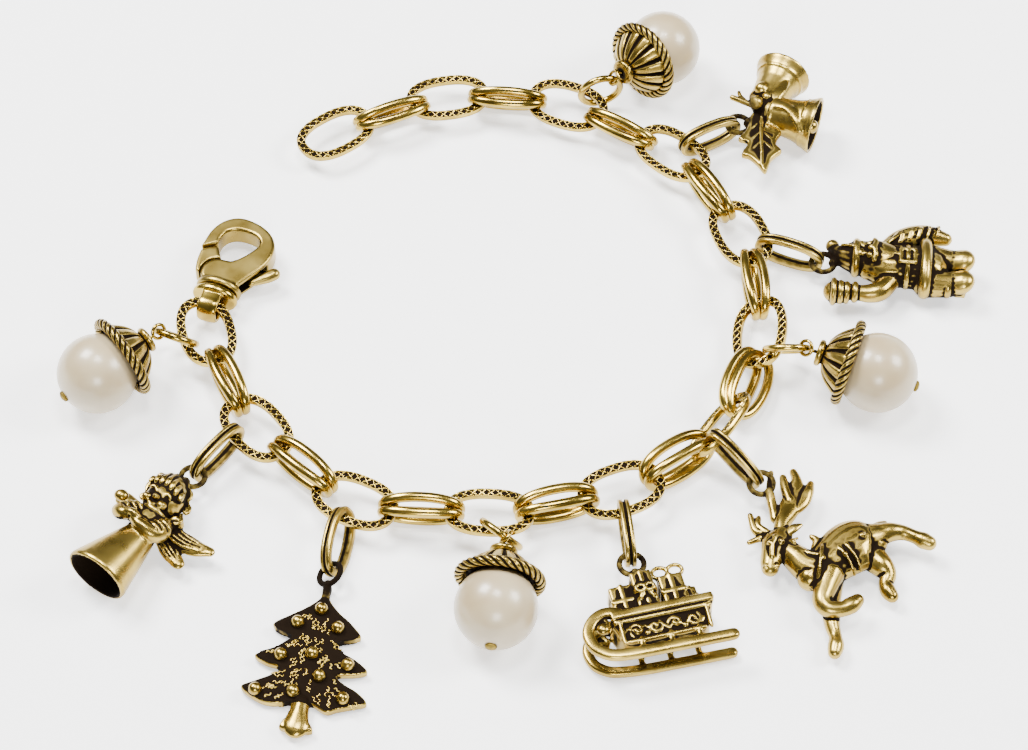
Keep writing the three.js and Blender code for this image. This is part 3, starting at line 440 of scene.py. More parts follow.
def goldFinish(name, low, high, bright=goldLook["bright"], grain=0.12, rough=0.0):
    # plated gold worn through to dark patina, and darkened further by painted shade: the wear attribute,
    # which carries both, picks between them, broken up by noise
    make = Maker(name)
    look = goldLook
    speck, cloud = make.noise(look["speckScale"], 4), make.noise(look["cloudScale"])
    goldShare = make.attribute("wearAndShade") + (speck - 0.5) * look["speckShare"] + (cloud - 0.5) * look["cloudShare"]
    shown = goldShare.ramp(low, high)
    metal = make.mix(look["tint"], make.mix(cloud.ramp(0.3, 0.7), look["deep"], bright), bright)
    patinaAndShadeRough = (1 - shown) * (look["patinaAndShadeRough"] - look["smooth"])
    make.feed(make.surface, {
        "Base Color": make.mix(shown, look["patinaAndShade"], metal),
        "Roughness": patinaAndShadeRough + look["smooth"] + rough + cloud * look["cloudRough"],
        "Metallic": shown * 0.75 + 0.25, "Specular IOR Level": 0.03,
        "Normal": make.bump(speck, grain, 0.00004),
    })
    return make.material


def pearlFinish():
    # nacre: cream with faint rosy and greenish clouds under a clear coat
    make = Maker("pearlNacre")
    cloud = make.noise(170.0, 2.0)
    fine = make.noise(900.0, 5.0)
    warm = make.mix(cloud.ramp(0.35, 0.65), colour(0.37, 0.28, 0.15), colour(0.43, 0.345, 0.205))
    make.feed(make.surface, {
        "Base Color": make.mix(fine * 0.25, warm, colour(0.37, 0.3, 0.165)),
        "Roughness": fine * 0.12 + 0.34,
        "Coat Weight": 0.7, "Coat Roughness": 0.22, "Subsurface Weight": 0.05,
        "Subsurface Radius": (0.004, 0.003, 0.002), "Specular IOR Level": 0.6,
        "Normal": make.bump(cloud, 0.06, 0.0001),
    })
    return make.material


latticeGold = goldFinish("latticeGold", 0.4, 0.66)
polishedGold = goldFinish("polishedGold", 0.18, 0.5, grain=0.06)
castGold = goldFinish("castGold", 0.45, 0.7, colour(0.43, 0.305, 0.068), grain=0.3, rough=0.06)
satinGold = goldFinish("satinGold", 0.2, 0.5, colour(0.36, 0.265, 0.068), grain=0.12, rough=0.08)
nacre = pearlFinish()
print("materials made")


# Chain links

linkSizes = {
    "length": 11.0, "width": 7.3, "wire": 1.2, "height": 1.1, "roundness": 2.4,
    "diamonds": 24, "stepsPerDiamond": 15, "lineWidth": 0.1, "lineEdge": 0.08, "cut": 0.2, "border": 0.86,
    "plainLength": 10.6, "plainWidth": 5.5, "plainWire": 1.22, "spread": 0.84, "fan": 1.18, "bow": 0.35,
}
doubleRows = [  # heading of each pair in degrees, and the leans of its outer and inner ring
    (-65, 8, -4), (-42, 13, -3), (-3, 22, 10), (13, 13, 0), (35, -3, -24), (68, -58, -40),
    (96, 6, -6), (120, -12, -18), (148, -30, -36), (175, -32, -38), (203, -31, -39),
]


def oval(halfLength, halfWidth, count):
    # superellipse in the XY plane, its points spaced evenly along it
    fine = tau * np.arange(count * 8) / (count * 8)
    power = 2 / linkSizes["roundness"]
    c, s = np.cos(fine), np.sin(fine)
    track = np.stack([halfLength * np.sign(c) * np.abs(c) ** power,
                      halfWidth * np.sign(s) * np.abs(s) ** power], -1)
    step = np.linalg.norm(np.roll(track, -1, 0) - track, axis=1)
    travel = np.concatenate([[0], np.cumsum(step)])
    even = np.linspace(0, travel[-1], count, endpoint=False)
    closed = np.vstack([track, track[:1]])
    x, y = (np.interp(even, travel, closed[:, axis]) for axis in (0, 1))
    return np.stack([x, y, 0 * even], -1)


def texturedLink():
    # band round an oval: flat top cut with crossed lines, rounded sides; on the top wear is the height of the
    # cut, and down the sides it falls towards the underside as painted shade
    size = linkSizes
    count = size["diamonds"] * size["stepsPerDiamond"]
    path = oval((size["length"] - size["wire"]) / 2, (size["width"] - size["wire"]) / 2, count)
    ahead = aheadOf(path)
    side = np.stack([-ahead[:, 1], ahead[:, 0], 0 * ahead[:, 0]], -1)
    top = np.linspace(-1, 1, 15)
    angle = np.linspace(0, np.pi, 11)[1:-1]
    shoulder = 0.9 + 0.1 * np.sin(angle[:4] * 1.2)
    across = np.concatenate([top * 0.9, shoulder, np.cos(angle) * 0.97, -shoulder[::-1]])
    drop = np.linspace(0.9, 0.2, 4)
    above = np.concatenate([0 * top + 1, drop, 0.02 - 0.92 * np.sin(angle), drop[::-1]])
    rings = swept(path, side, across * size["wire"] / 2, np.array([0, 0, 1]), above * size["height"] / 2)
    along = (np.arange(count) / count * size["diamonds"])[:, None]
    lines = [np.abs((along + way * top / 2 + 0.5) % 1 - 0.5) for way in (1, -1)]
    solid = 1 - np.clip((np.minimum(*lines) - size["lineWidth"] / 2) / size["lineEdge"], 0, 1)
    height = np.where(np.abs(top) < size["border"], solid, 1)
    rings[:, :15, 2] -= (1 - height) * size["cut"]
    # painted shade: the gold on the sides darkens towards the underside
    wearAndShade = np.tile(0.72 + 0.14 * above, (count, 1))
    wearAndShade[:, :15] = 0.12 + 0.88 * height
    return loft(rings), wearAndShade.ravel()


def plainRing(halfLength, halfWidth, wire, bow=0.0):
    # round wire bent to an oval that stands in the XZ plane, bowed sideways along its length
    path = oval(halfLength, halfWidth, 96)
    path = np.stack([path[:, 0], bow * (1 - (path[:, 0] / halfLength) ** 2), path[:, 1]], -1)
    return tube(path, wire / 2, up=(0, 1, 0), around=16, closed=True, power=2.3)


def addChain():
    shape, wearAndShade = texturedLink()
    for number in range(1, 13):
        node = f"textured_link_{number:02d}"
        centre, turn = axesOf(node)
        addPiece(f"texturedLink{number:02d}", moved(shape, turn, centre), node, latticeGold,
                 wearAndShade)
    size = linkSizes
    half = (size["plainLength"] - size["plainWire"]) / 2, (size["plainWidth"] - size["plainWire"]) / 2
    for number, (heading, *pair) in enumerate(doubleRows, 1):
        node = f"double_link_{number:02d}"
        corners = cornersOf(node)
        floor = corners[:, 2].min()
        along, side = unit(heading), unit(heading + 90)
        leans = dict(zip((-1, 1), pair))
        # the pair's middle in plan is that of the solid, less what the leans add on one side
        reach = {way: half[1] * abs(np.sin(np.radians(lean))) for way, lean in leans.items()}
        offset = (max(way * size["spread"] / 2 + reach[way] for way in leans)
                  + min(way * size["spread"] / 2 - reach[way] for way in leans)) / 2
        upright = max(np.cos(np.radians(lean)) for lean in pair)
        spans = [(corners @ axis).max() + (corners @ axis).min() for axis in (along, side)]
        centre = along * spans[0] / 2 + side * (spans[1] / 2 - offset)
        centre[2] = floor + size["plainWire"] / 2 + half[1] * upright
        rings = []
        for way, lean in leans.items():
            ring = plainRing(*half, size["plainWire"], way * size["bow"])
            ring = moved(ring, turnAbout("x", lean), (0, way * size["spread"] / 2 * size["fan"], 0))
            rings.append(moved(ring, turnAbout("z", heading), centre))
        shape = merge(rings)
        # painted shade: the gold darkens towards the floor and brightens higher up
        wearAndShade = 0.62 + 0.06 * (shape[0][:, 2] - floor)
        addPiece(f"doubleLink{number:02d}", shape, node, polishedGold, wearAndShade)
    print("chain done")


# Bails and jump rings

bailSizes = {"length": 9.0, "width": 4.6, "strap": 1.3, "thick": 0.85, "groove": 0.3, "play": 0.3}
eyeSizes = {"outer": 3.7, "wire": 0.75}


def bailShape():
    # strap bent to an oval, with a groove round its outer face; wear is low in the groove
    size = bailSizes
    path = oval((size["length"] - size["thick"]) / 2, (size["width"] - size["thick"]) / 2, 120)
    ahead = aheadOf(path)
    out = np.stack([ahead[:, 1], -ahead[:, 0], 0 * ahead[:, 0]], -1)
    height = np.array([-0.86, -0.6, -0.3, -0.22, -0.12, 0.12, 0.22, 0.3, 0.6, 0.86,
                       1, 1, 0.86, 0.4, 0, -0.4, -0.86, -1, -1])
    depth = np.array([1, 1.04, 1, 0.55, 0.4, 0.4, 0.55, 1, 1.04, 1, 0.8, -0.7, -1, -1, -1, -1, -1, -0.7, 0.8])
    rings = swept(path, out, depth * size["thick"] / 2, np.array([0, 0, 1]), height * size["strap"] / 2)
    wearAndShade = np.where(np.abs(height) < 0.25, 0.1, 0.85) * np.where(depth < 0, 0.75, 1.0)
    wearAndShade[[2, 7]] = 0.6
    return loft(rings), np.tile(wearAndShade * 0.92, len(path))


def addBails(names):
    shape, wearAndShade = bailShape()
    for name in names:
        node = f"{name}_bail"
        centre, turn = axesOf(node)
        addPiece(f"{name}Bail", moved(shape, turn, centre), node, castGold, wearAndShade)
    print("bails done")


# Pearl drops

dropSizes = {
    "pearl": 9.9, "cap": 10.9, "rope": 1.25, "capReach": 7.9, "rimReach": 3.8, "knob": 3.4, "knobThick": 0.85,
    "neck": 2.5, "lobes": 13, "lobeDepth": 0.6, "twists": 31, "lining": 0.12, "ring": 6.25, "ringWire": 0.95,
    "loop": 1.35, "loopWire": 0.45, "loopReach": 1.4, "pin": 0.7, "pinHead": 1.5,
}


def ropeRing(radius, thick, twists):
    # torus of twisted strands: half its thickness is 0.72 + 0.36 |cos((4 angle + twists place) / 2)|^0.7
    rows, columns = twists * 12, 18
    place = tau * np.arange(rows)[:, None] / rows
    angle = tau * np.arange(columns)[None] / columns
    strand = np.abs(np.cos((4 * angle + twists * place) / 2))
    swell = thick / 2 * (0.72 + 0.36 * strand ** 0.7)
    out = radius + swell * np.cos(angle)
    rings = np.stack([swell * np.sin(angle) + 0 * place, out * np.cos(place), out * np.sin(place)], -1)
    return loft(rings), (strand ** 0.8 * 0.95 - 0.1).ravel()


def capShell():
    # bell turned about X, its radius drawn in at the grooves between the lobes; wear falls in the grooves
    size = dropSizes
    inside = size["pearl"] / 2 + size["lining"]
    neck, rim = size["neck"] / 2, size["cap"] / 2 - size["rope"] * 0.75
    run = splined([  # distance along X, radius, share of the lobes
        (size["knobThick"] + 0.05 - size["capReach"], neck, 0), (-6.9, neck * 1.1, 0.2), (-6.75, 1.95, 0.8),
        (-6.35, 2.65, 1), (-5.8, 3.3, 1), (-5.1, 3.9, 1), (-4.5, 4.35, 1),
        (-size["rimReach"] - 0.15, rim, 0.5),
    ], 8)
    share = np.clip(run[:, 2:], 0, 1)
    around = size["lobes"] * 16
    angle = tau * np.arange(around)[None] / around
    lobe = np.clip(np.abs(np.sin(angle * size["lobes"] / 2)) / 0.85, 0, 1) ** 0.7
    back = np.radians(np.linspace(47, 84, 10))
    lining = np.vstack([np.stack([-inside * np.sin(back), inside * np.cos(back)], -1), [-inside, 0.36]])
    x = np.concatenate([run[:, :1], lining[:, :1]]) + 0 * angle
    radius = np.concatenate([run[:, 1:2] - size["lobeDepth"] * share * (1 - lobe), lining[:, 1:] + 0 * angle])
    goldShare = np.where(share > 0.15, np.clip(lobe * 1.5 - 0.5, 0, 1), 0.35) * (0.9 + 0.1 * share)
    wearAndShade = np.concatenate([0.02 + 0.9 * goldShare, np.full((len(lining), around), 0.1)])
    return loft(np.stack([x, radius * np.cos(angle), radius * np.sin(angle)], -1)), wearAndShade.ravel()


def capShape():
    size = dropSizes
    shell, wearAndShade = capShell()
    rope, ropeWear = ropeRing(size["cap"] / 2 - size["rope"] / 2, size["rope"], size["twists"])
    rope = moved(rope, by=(-size["rimReach"], 0, 0))
    x, r, t = -size["capReach"], size["knob"] / 2, size["knobThick"]
    rows = [(0.02, 0.4, 0.3), (0, 0.5, 0.4), (0.02, r * 0.8, 0.85), (0.15, r * 0.96, 0.95), (t / 2, r, 0.95),
            (t * 0.8, r * 0.94, 0.8), (t, r * 0.75, 0.3), (t + 0.15, 1.1, 0.05), (t + 0.15, 0.4, 0.05)]
    knob = turned([(x + along, radius) for along, radius, goldShare in rows], 48, closed=True)
    knobWear = np.repeat([goldShare for along, radius, goldShare in rows], 48)
    return merge([rope, knob, shell]), np.concatenate([ropeWear, knobWear, wearAndShade])


def pearlShape():
    # ball with a small dimple round the drill hole at each end
    size = dropSizes
    radius = size["pearl"] / 2
    angle = np.linspace(0, np.pi, 72)
    dimple = 0.18 * np.exp(-(np.sin(angle) / 0.1) ** 2)
    rows = np.stack([-(radius - dimple) * np.cos(angle), (radius - dimple) * np.sin(angle)], -1)[1:-1]
    return turned(rows, 96)


def pinShape(wire):
    # shank through the pearl with a round head, and a loop whose axis is the jump ring's wire
    size = dropSizes
    radius = (size["loop"] + size["loopWire"]) / 2
    wire = normed(wire)
    near = normed(np.array([1, 0, 0]) - wire * wire[0])
    angle = np.radians(np.linspace(8, 352, 40))[:, None]
    loop = radius * (np.cos(angle) * near + np.sin(angle) * np.cross(wire, near))
    start, half, head = size["loopReach"], size["pin"] / 2, size["pinHead"] / 2
    end = size["capReach"] + start + size["pearl"] / 2
    neck = splined([loop[0], near * radius + [0.1, 0, 0], [start + 0.3, 0, 0], [start + 1.2, 0, 0]], 8)
    shank = turned([(start + 1, 0.2), (start + 1.1, half), (end - 0.2, half), (end - 0.1, head * 0.8),
                    (end, head), (end + 0.25, head * 0.85), (end + 0.4, head * 0.4)], 24)
    return merge([tube(np.vstack([loop[::-1], neck[1:]]), size["loopWire"] / 2, up=wire), shank])


def addDrops():
    size = dropSizes
    cap, capWear = capShape()
    bead = pearlShape()
    ringPath = circle(80, (size["ring"] - size["ringWire"]) / 2)
    ring = tube(ringPath, size["ringWire"] / 2, around=16, closed=True)
    for number in range(1, 5):
        nodeOf = {key: f"{key}_{number:02d}" for key in ("jump_ring", "pearl", "pearl_cap", "head_pin")}
        at = centreOf(nodeOf["pearl"])
        ahead = axesOf(nodeOf["head_pin"], at)[1][:, 0]
        side = normed(np.cross([0, 0, 1], ahead))
        turn = np.stack([ahead, side, np.cross(ahead, side)], 1)
        loopAt = at - ahead * (size["capReach"] + size["loopReach"])
        ringCentre, ringTurn = axesOf(nodeOf["jump_ring"])
        pin = pinShape(turn.T @ np.cross(ringTurn[:, 2], loopAt - ringCentre))
        pinWear = np.where(pin[0][:, 0] > size["capReach"] + size["loopReach"], 0.34, 0.75)
        for name, key, shape, material, slot, wearAndShade in (
            ("jumpRing", "jump_ring", moved(ring, ringTurn, ringCentre), polishedGold, "link_gold",
             np.full(len(ring[0]), 0.8)),
            ("pearl", "pearl", moved(bead, turn, at), nacre, "pearl", None),
            ("pearlCap", "pearl_cap", moved(cap, turn, at), castGold, "cast_gold", capWear),
            ("headPin", "head_pin", moved(pin, turn, loopAt), polishedGold, "link_gold", pinWear),
        ):
            addPiece(f"{name}{number:02d}", shape, nodeOf[key], material, wearAndShade)
    print("drops done")


# Figures: each is shaped from its eye at the origin in plan, with z = 0 on the surface

figurePlaces = {
    "angel": {"turn": -126, "eye": 2.4, "lean": 0}, "tree": {"turn": -99, "eye": 1.75, "lean": 30},
    "sleigh": {"turn": 14, "eye": 2.4, "lean": 0}, "reindeer": {"turn": 0, "eye": 2.6, "lean": 10},
    "santa": {"turn": -6, "eye": 2.4, "lean": 0}, "bells": {"turn": 0, "eye": 2.4, "lean": 0},
}


def stroke(points, half, high=None, around=10, steps=5):
    # tube of even thickness through points
    high = half if high is None else high
    return limb([(*point, half, high) for point in points], around, steps)


def strokes(rows):
    # each row: half width, or half width and half height, and then the points
    return [stroke(points, *np.atleast_1d(half)) for half, *points in rows]


def balls(*rows):
    return [ball(*row) for row in rows]


def hoop(x, y, z, wide, tall, half, high=None, around=10, count=60):
    # closed ring round X: (x, y + wide cos a, z + tall sin a)
    path = circle(count)[:, [2, 0, 1]] * [1, wide, tall] + [x, y, z]
    return tube(path, half, high, up=(1, 0, 0), around=around, closed=True)


def eyeAndNeck(name, *neck):
    # ring that the strap runs through, and a stroke from it to the figure
    row = figurePlaces[name]
    ring = tube(circle(40, (eyeSizes["outer"] - eyeSizes["wire"]) / 2), eyeSizes["wire"] / 2, closed=True)
    return [moved(ring, turnAbout("x", row["lean"]), (0, 0, row["eye"])), *strokes([neck])]


def waves(start, end, height, count, swing, half):
    # wavy line between two points in plan
    start, end = np.array(start, float), np.array(end, float)
    t = np.linspace(0, 1, count * 8 + 1)
    side = normed(np.array([start[1] - end[1], end[0] - start[0]]))
    flat = start + (end - start) * t[:, None] + side * (swing * np.sin(tau * count * t))[:, None]
    return tube(np.column_stack([flat, np.full(len(t), height)]), half, around=8)


def curl(x, y, z, radius, turns, half=0.2, facing=0.0):
    # small spiral lying on top of a surface
    t = np.linspace(0.15, 1, 26)
    angle = np.radians(facing) + tau * turns * t
    path = [x, y, z] + radius * np.stack([t * np.cos(angle), t * np.sin(angle), -0.35 * t ** 2], -1)
    return tube(path, half, around=8)


def cast(shapes):
    shape = fused(shapes)
    return shape, patinaAndShadeOf(shape)


def near(points, x, y, reach):
    # which points lie within reach of a place in plan
    return np.hypot(points[:, 0] - x, points[:, 1] - y) < reach


treeLook = {
    "outline": [
        (1.2, 0.45), (2.9, 0.5), (4.6, 1.9), (5.9, 3.6), (7.6, 5.2), (8.2, 4.3), (8.9, 2.6), (9.9, 3.1),
        (10.9, 5.2), (12.2, 6.8), (12.9, 5.6), (13.4, 3.4), (14.3, 4.4), (15.2, 6.2), (16.5, 7.5), (17.2, 6),
        (17.9, 4.2), (18.4, 3), (17.6, 1), (19.4, 1.1), (21.2, 1.9), (21.2, -1.9), (19.4, -1.1), (17.6, -1),
        (18.2, -3.2), (17.9, -5.2), (16.5, -7.4), (15.4, -6), (14.4, -4.4), (13.3, -3.2), (12.9, -5.2),
        (12, -6.7), (11, -5), (9.9, -3.6), (8.8, -2.8), (8.2, -4.4), (7.4, -5.4), (6, -3.8), (4.6, -2),
        (2.9, -0.5), (1.2, -0.45),
    ],
    "balls": [(4.8, -0.1), (7, -2.5), (7.1, 2.3), (11.7, -3.6), (11, 0), (11.9, 4.4), (13.9, 1.4),
              (16.8, -5.6), (16.4, -1.2), (16.5, 4.7)],
    # top, end, half width and number of squiggles
    "tiers": [(3.8, 7.7, 4.6, 26), (7, 12.4, 5.9, 46), (11, 17.2, 6.7, 62)],
}


def treeFigure():
    # flat dark plate with smooth balls, a bright lower edge on each tier painted on as a highlight, and fine
    # squiggles over it
    shapes = [plate(bentOutline(treeLook["outline"], 5), 0.05, 1.25, 0.3)]
    shapes += eyeAndNeck("tree", 0.5, (1.4, 0, 1.7), (2.4, 0, 1.3), (3.6, 0, 1))
    shapes += balls(*((x, y, 1.5, 0.82) for x, y in treeLook["balls"]))
    shapes.append(limb([(17.6, 0, 0.9, 1, 0.9), (19, 0, 0.9, 1.15, 0.9), (20.6, 0, 0.9, 1.6, 0.85)], 16, 4))
    base = fused(shapes)
    x, y, z = base[0].T
    onBalls = np.any([near(base[0], *place, 0.8) for place in treeLook["balls"]], 0)
    wearAndShade = np.where((z > 1.4) & onBalls, 0.95, 0.16)
    wearAndShade = np.where((x > 17.9) & (np.abs(y) < 2.4), 0.86, wearAndShade)
    wearAndShade = np.where(x < 3.2, 0.76, wearAndShade)
    # painted highlight: the plate's side walls turn bright gold where they bulge
    wearAndShade = np.maximum(wearAndShade, patinaAndShadeOf(base, 0.2) * (z > 0.3) * (z < 1.15) * 0.95)
    dice = np.random.default_rng(24)
    veins = []
    for top, end, halfWidth, count in treeLook["tiers"]:
        for k in range(count):
            share = dice.uniform(0.05, 1) ** 0.5
            x = top + (end - top) * share
            y = dice.uniform(-1, 1) * (0.3 + halfWidth * share * 0.95)
            if min(np.hypot(x - bx, y - by) for bx, by in treeLook["balls"]) < 0.95:
                continue
            heading = np.arctan2(y * 0.9, 2.2) + dice.uniform(-0.9, 0.9)
            reach = dice.uniform(0.45, 0.95)
            tip = (x + reach * np.cos(heading), y + reach * np.sin(heading))
            veins.append(waves((x, y), tip, 1.27, 1, 0.15, 0.09))
    squiggles = merge(veins)
    return merge([base, squiggles]), np.concatenate([wearAndShade, np.full(len(squiggles[0]), 0.9)])


def present(x, y, z, ribbon=0.42, raised=0.14):
    # box with a ribbon crossed round it
    middleX, middleY = (x[0] + x[1]) / 2, (y[0] + y[1]) / 2
    height = (z[0], z[1] + raised)
    across = block((x[0] - raised, x[1] + raised), (middleY - ribbon / 2, middleY + ribbon / 2), height, 0.05)
    along = block((middleX - ribbon / 2, middleX + ribbon / 2), (y[0] - raised, y[1] + raised), height, 0.05)
    return [block(x, y, z, 0.18), across, along]


def bowOn(x, y, z, size):
    # two loops and two tails on a knot
    loops = []
    angle = np.linspace(0, tau, 18)
    for way in (-1, 1):
        petal = np.stack([x + way * size * (0.55 - 0.55 * np.cos(angle)),
                          y + 0.45 * size * np.sin(angle) + 0.2 * size, z + 0 * angle], -1)
        loops.append(tube(petal[:-1], 0.26, 0.34, around=8, closed=True))
        tail = [(0, 0), (0.4, 0.5), (0.75, 0.95)]
        loops.append(stroke([(x + way * out * size, y - down * size, z) for out, down in tail], 0.26, 0.16))
    return loops + [ball(x, y, z + 0.05, 0.34)]


def sleighFigure():
    # lies on its side: one runner above the other, the carved side panel between, presents behind the rails
    shapes = eyeAndNeck("sleigh", 0.6, (0.1, -1.3, 2.4), (0.2, -2.2, 2.5), (0.3, -3.4, 2.6))
    for z, half, shift, out in ((4.4, 0.72, 0, 0.1), (0.62, 0.66, -0.5, -0.1)):
        track = [(-3.4, -7.9), (-4.6, -7.3), (-5.8, -7.3), (-7.1, -8.1), (-7.9, -9.6), (-7.6, -11.4),
                 (-6.4, -12.6), (-5, -13.1), (-2, -13.3 + shift * 0.3), (3, -13.4 + shift * 0.4),
                 (8.6, -13.5 + shift * 0.4)]
        shapes.append(limb([(x, y, z, half, 0.55) for x, y in track], 16, 6, 3.2))
        shapes.append(stroke([(-7.2, -8.3, z), (-6, -8, z), (-5.3, -8.7, z), (-5.6, -9.6, z)], 0.38, 0.36))
        shapes += balls((-6, -9.3, z + out, 0.78, 1, 0.7), (8.5, -13.5 + shift * 0.4, z, 0.62, 1, 0.75))
        for x in (-1.9, 1.6, 5):
            shapes.append(stroke([(x, -11.6, z), (x - 0.2, -12.4, z), (x, -13.3, z)], 0.4, 0.36))
    panel = [(-4.3, -8), (-4.6, -10), (-3.6, -11.7), (0, -12), (4.6, -12), (6.2, -11.4), (6.8, -9.8),
             (7.2, -8), (2, -7.8)]
    shapes.append(plate(bentOutline(panel, 6), 0.7, 4.35, 0.3))
    for start, end, y in ((-4.6, 7.5, -7.9), (-4.4, 6.9, -8.9), (-3.4, 5.6, -11.8)):
        shapes.append(stroke([(start, y, 4.45), (end, y, 4.45)], 0.3, 0.36))
    shapes += [block((-4.8, 7.6), (-8.5, -7.4), (z - 0.5, z + 0.5), 0.2) for z in (4.5, 0.75)]
    shapes += [stroke([(x, -8, 4.5), (x - 0.1, -11.8, 4.5)], 0.26, 0.3) for x in (-3.9, 6.5)]
    for x, way in ((-2.2, 1), (0, -1), (2.4, 1), (4.6, -1)):
        shapes += [curl(x, -10.3, 4.62, 0.95, 1.4, 0.2, 90 * way), ball(x + 1.1 * way, -10.9, 4.35, 0.32)]
    shapes.append(waves((-3.6, -10.4), (5.8, -10.4), 4.4, 5, 0.5, 0.18))
    for x, y, *rest in (((-4, -1), -3.7, (0.7, 4.2)), ((-1.1, 1.5), -2.4, (0.9, 4.5)),
                        ((2.1, 5.1), -3.4, (0.7, 4.1)), ((4.7, 6.2), -5.5, (1.2, 3.8), 0.3)):
        shapes += present(x, (-8, y), *rest)
    return cast(shapes + bowOn(3.6, -2.9, 3.2, 1.7) + bowOn(0.2, -5.2, 4.75, 1))


reindeerLimbs = [
    # the near antler and its branches
    [(2, -8.2, 2.4, 0.85), (2.2, -6, 2.4, 1), (3.2, -3.6, 2.4, 1.35, 0.75), (4.1, -1.2, 2.4, 1.2, 0.65),
     (4.3, 0.6, 2.3, 0.7), (4, 1.9, 2.2, 0.5)],
    [(3, -4, 2.4, 1.1, 0.6), (4.6, -2.6, 2.4, 1.15, 0.6), (5.6, -1.2, 2.3, 0.75), (6, 0.1, 2.2, 0.5)],
    [(3.4, -2.6, 2.4, 0.8), (2.9, -0.6, 2.4, 0.65), (2.7, 1, 2.3, 0.48)],
    [(2, -5.4, 2.4, 0.6), (1.1, -3.2, 2.4, 0.5), (1, -0.6, 2.3, 0.45), (1.3, 1.8, 2.2, 0.36)],
    # the far antler
    [(2, -7.4, 2.3, 0.62), (0.3, -7.2, 2.2, 0.56), (-1, -6.6, 2.1, 0.5), (-1.5, -4.4, 2.1, 0.38)],
    [(0.1, -7.6, 2.2, 0.5), (-0.9, -7.9, 2.1, 0.4), (-1.8, -8.3, 2.1, 0.34)],
    [(0.3, -7, 2.4, 0.5), (-0.6, -6, 2.3, 0.42), (-0.5, -4.8, 2.2, 0.34)],
    # head, neck and body
    [(2.2, -7.6, 2.6, 1.25, 0.95), (1.4, -8.9, 2.6, 1.75, 1.4), (0.9, -10.3, 2.5, 1.45, 1.25),
     (0.6, -11.4, 2.5, 1.25, 1.1), (0.5, -12.2, 2.5, 1.1, 0.95)],
    [(2.2, -9, 2.2, 1.3), (3.6, -10.6, 2.3, 1.7), (4.8, -11.8, 2.4, 2.1, 1.7), (6, -12.4, 2.4, 2.4, 1.9)],
    [(5.2, -13.6, 2.4, 1.6), (6.2, -12.8, 2.4, 2.3, 1.9), (7.8, -11.3, 2.4, 2.9, 2.1),
     (9.6, -9.7, 2.4, 3.4, 2.2), (11, -8.8, 2.4, 3.4, 2.2), (12.2, -8.5, 2.4, 2.7, 2),
     (13, -8.5, 2.4, 1.7, 1.3)],
    # hind legs, then forelegs
    [(12.4, -8, 2.7, 1.9, 1.5), (14, -7.5, 2.7, 1.45, 1.2), (15.2, -7.2, 2.7, 1.2), (16.6, -7.2, 2.6, 0.95),
     (18, -7.8, 2.6, 0.85), (18.9, -8.3, 2.6, 1.05), (19.6, -8.7, 2.6, 0.95)],
    [(12.2, -9.6, 1.9, 2, 1.5), (13.8, -11.4, 1.8, 1.5), (14.5, -12.6, 1.6, 1.1), (14.2, -13.8, 1.5, 0.9),
     (14.4, -14.8, 1.5, 1), (14.8, -15.5, 1.5, 0.85)],
    [(7.6, -13.2, 2.7, 1.7), (7, -15, 2.8, 1.4), (6.4, -16.9, 2.8, 1.25), (7, -18.1, 2.8, 1.1),
     (8.6, -18.2, 2.8, 0.95), (9.8, -17.6, 2.8, 1.05), (10.5, -17, 2.8, 0.85)],
    [(7.8, -13.2, 1.7, 1.5), (7.5, -16.6, 1.5, 1.2), (7.5, -19.4, 1.4, 0.95), (7.8, -21, 1.3, 0.8),
     (7.8, -22.3, 1.3, 1), (7.6, -23.2, 1.3, 0.85)],
    # tail, ear and the bow on the back
    [(12.9, -7, 2.4, 0.9), (13.9, -6.2, 2.4, 0.7), (14.5, -5.8, 2.4, 0.45)],
    [(2.9, -7.6, 3.2, 0.5, 0.3), (3.6, -7, 3.3, 0.62, 0.3), (4.4, -6.6, 3.3, 0.3, 0.2)],
    [(6, -9.6, 2.8, 0.6), (6.2, -8.6, 2.9, 0.55), (5.6, -8, 2.9, 0.35)],
    [(6.9, -9.4, 2.8, 0.5), (7.2, -8.5, 2.9, 0.45), (7.6, -8.1, 2.9, 0.3)],
]


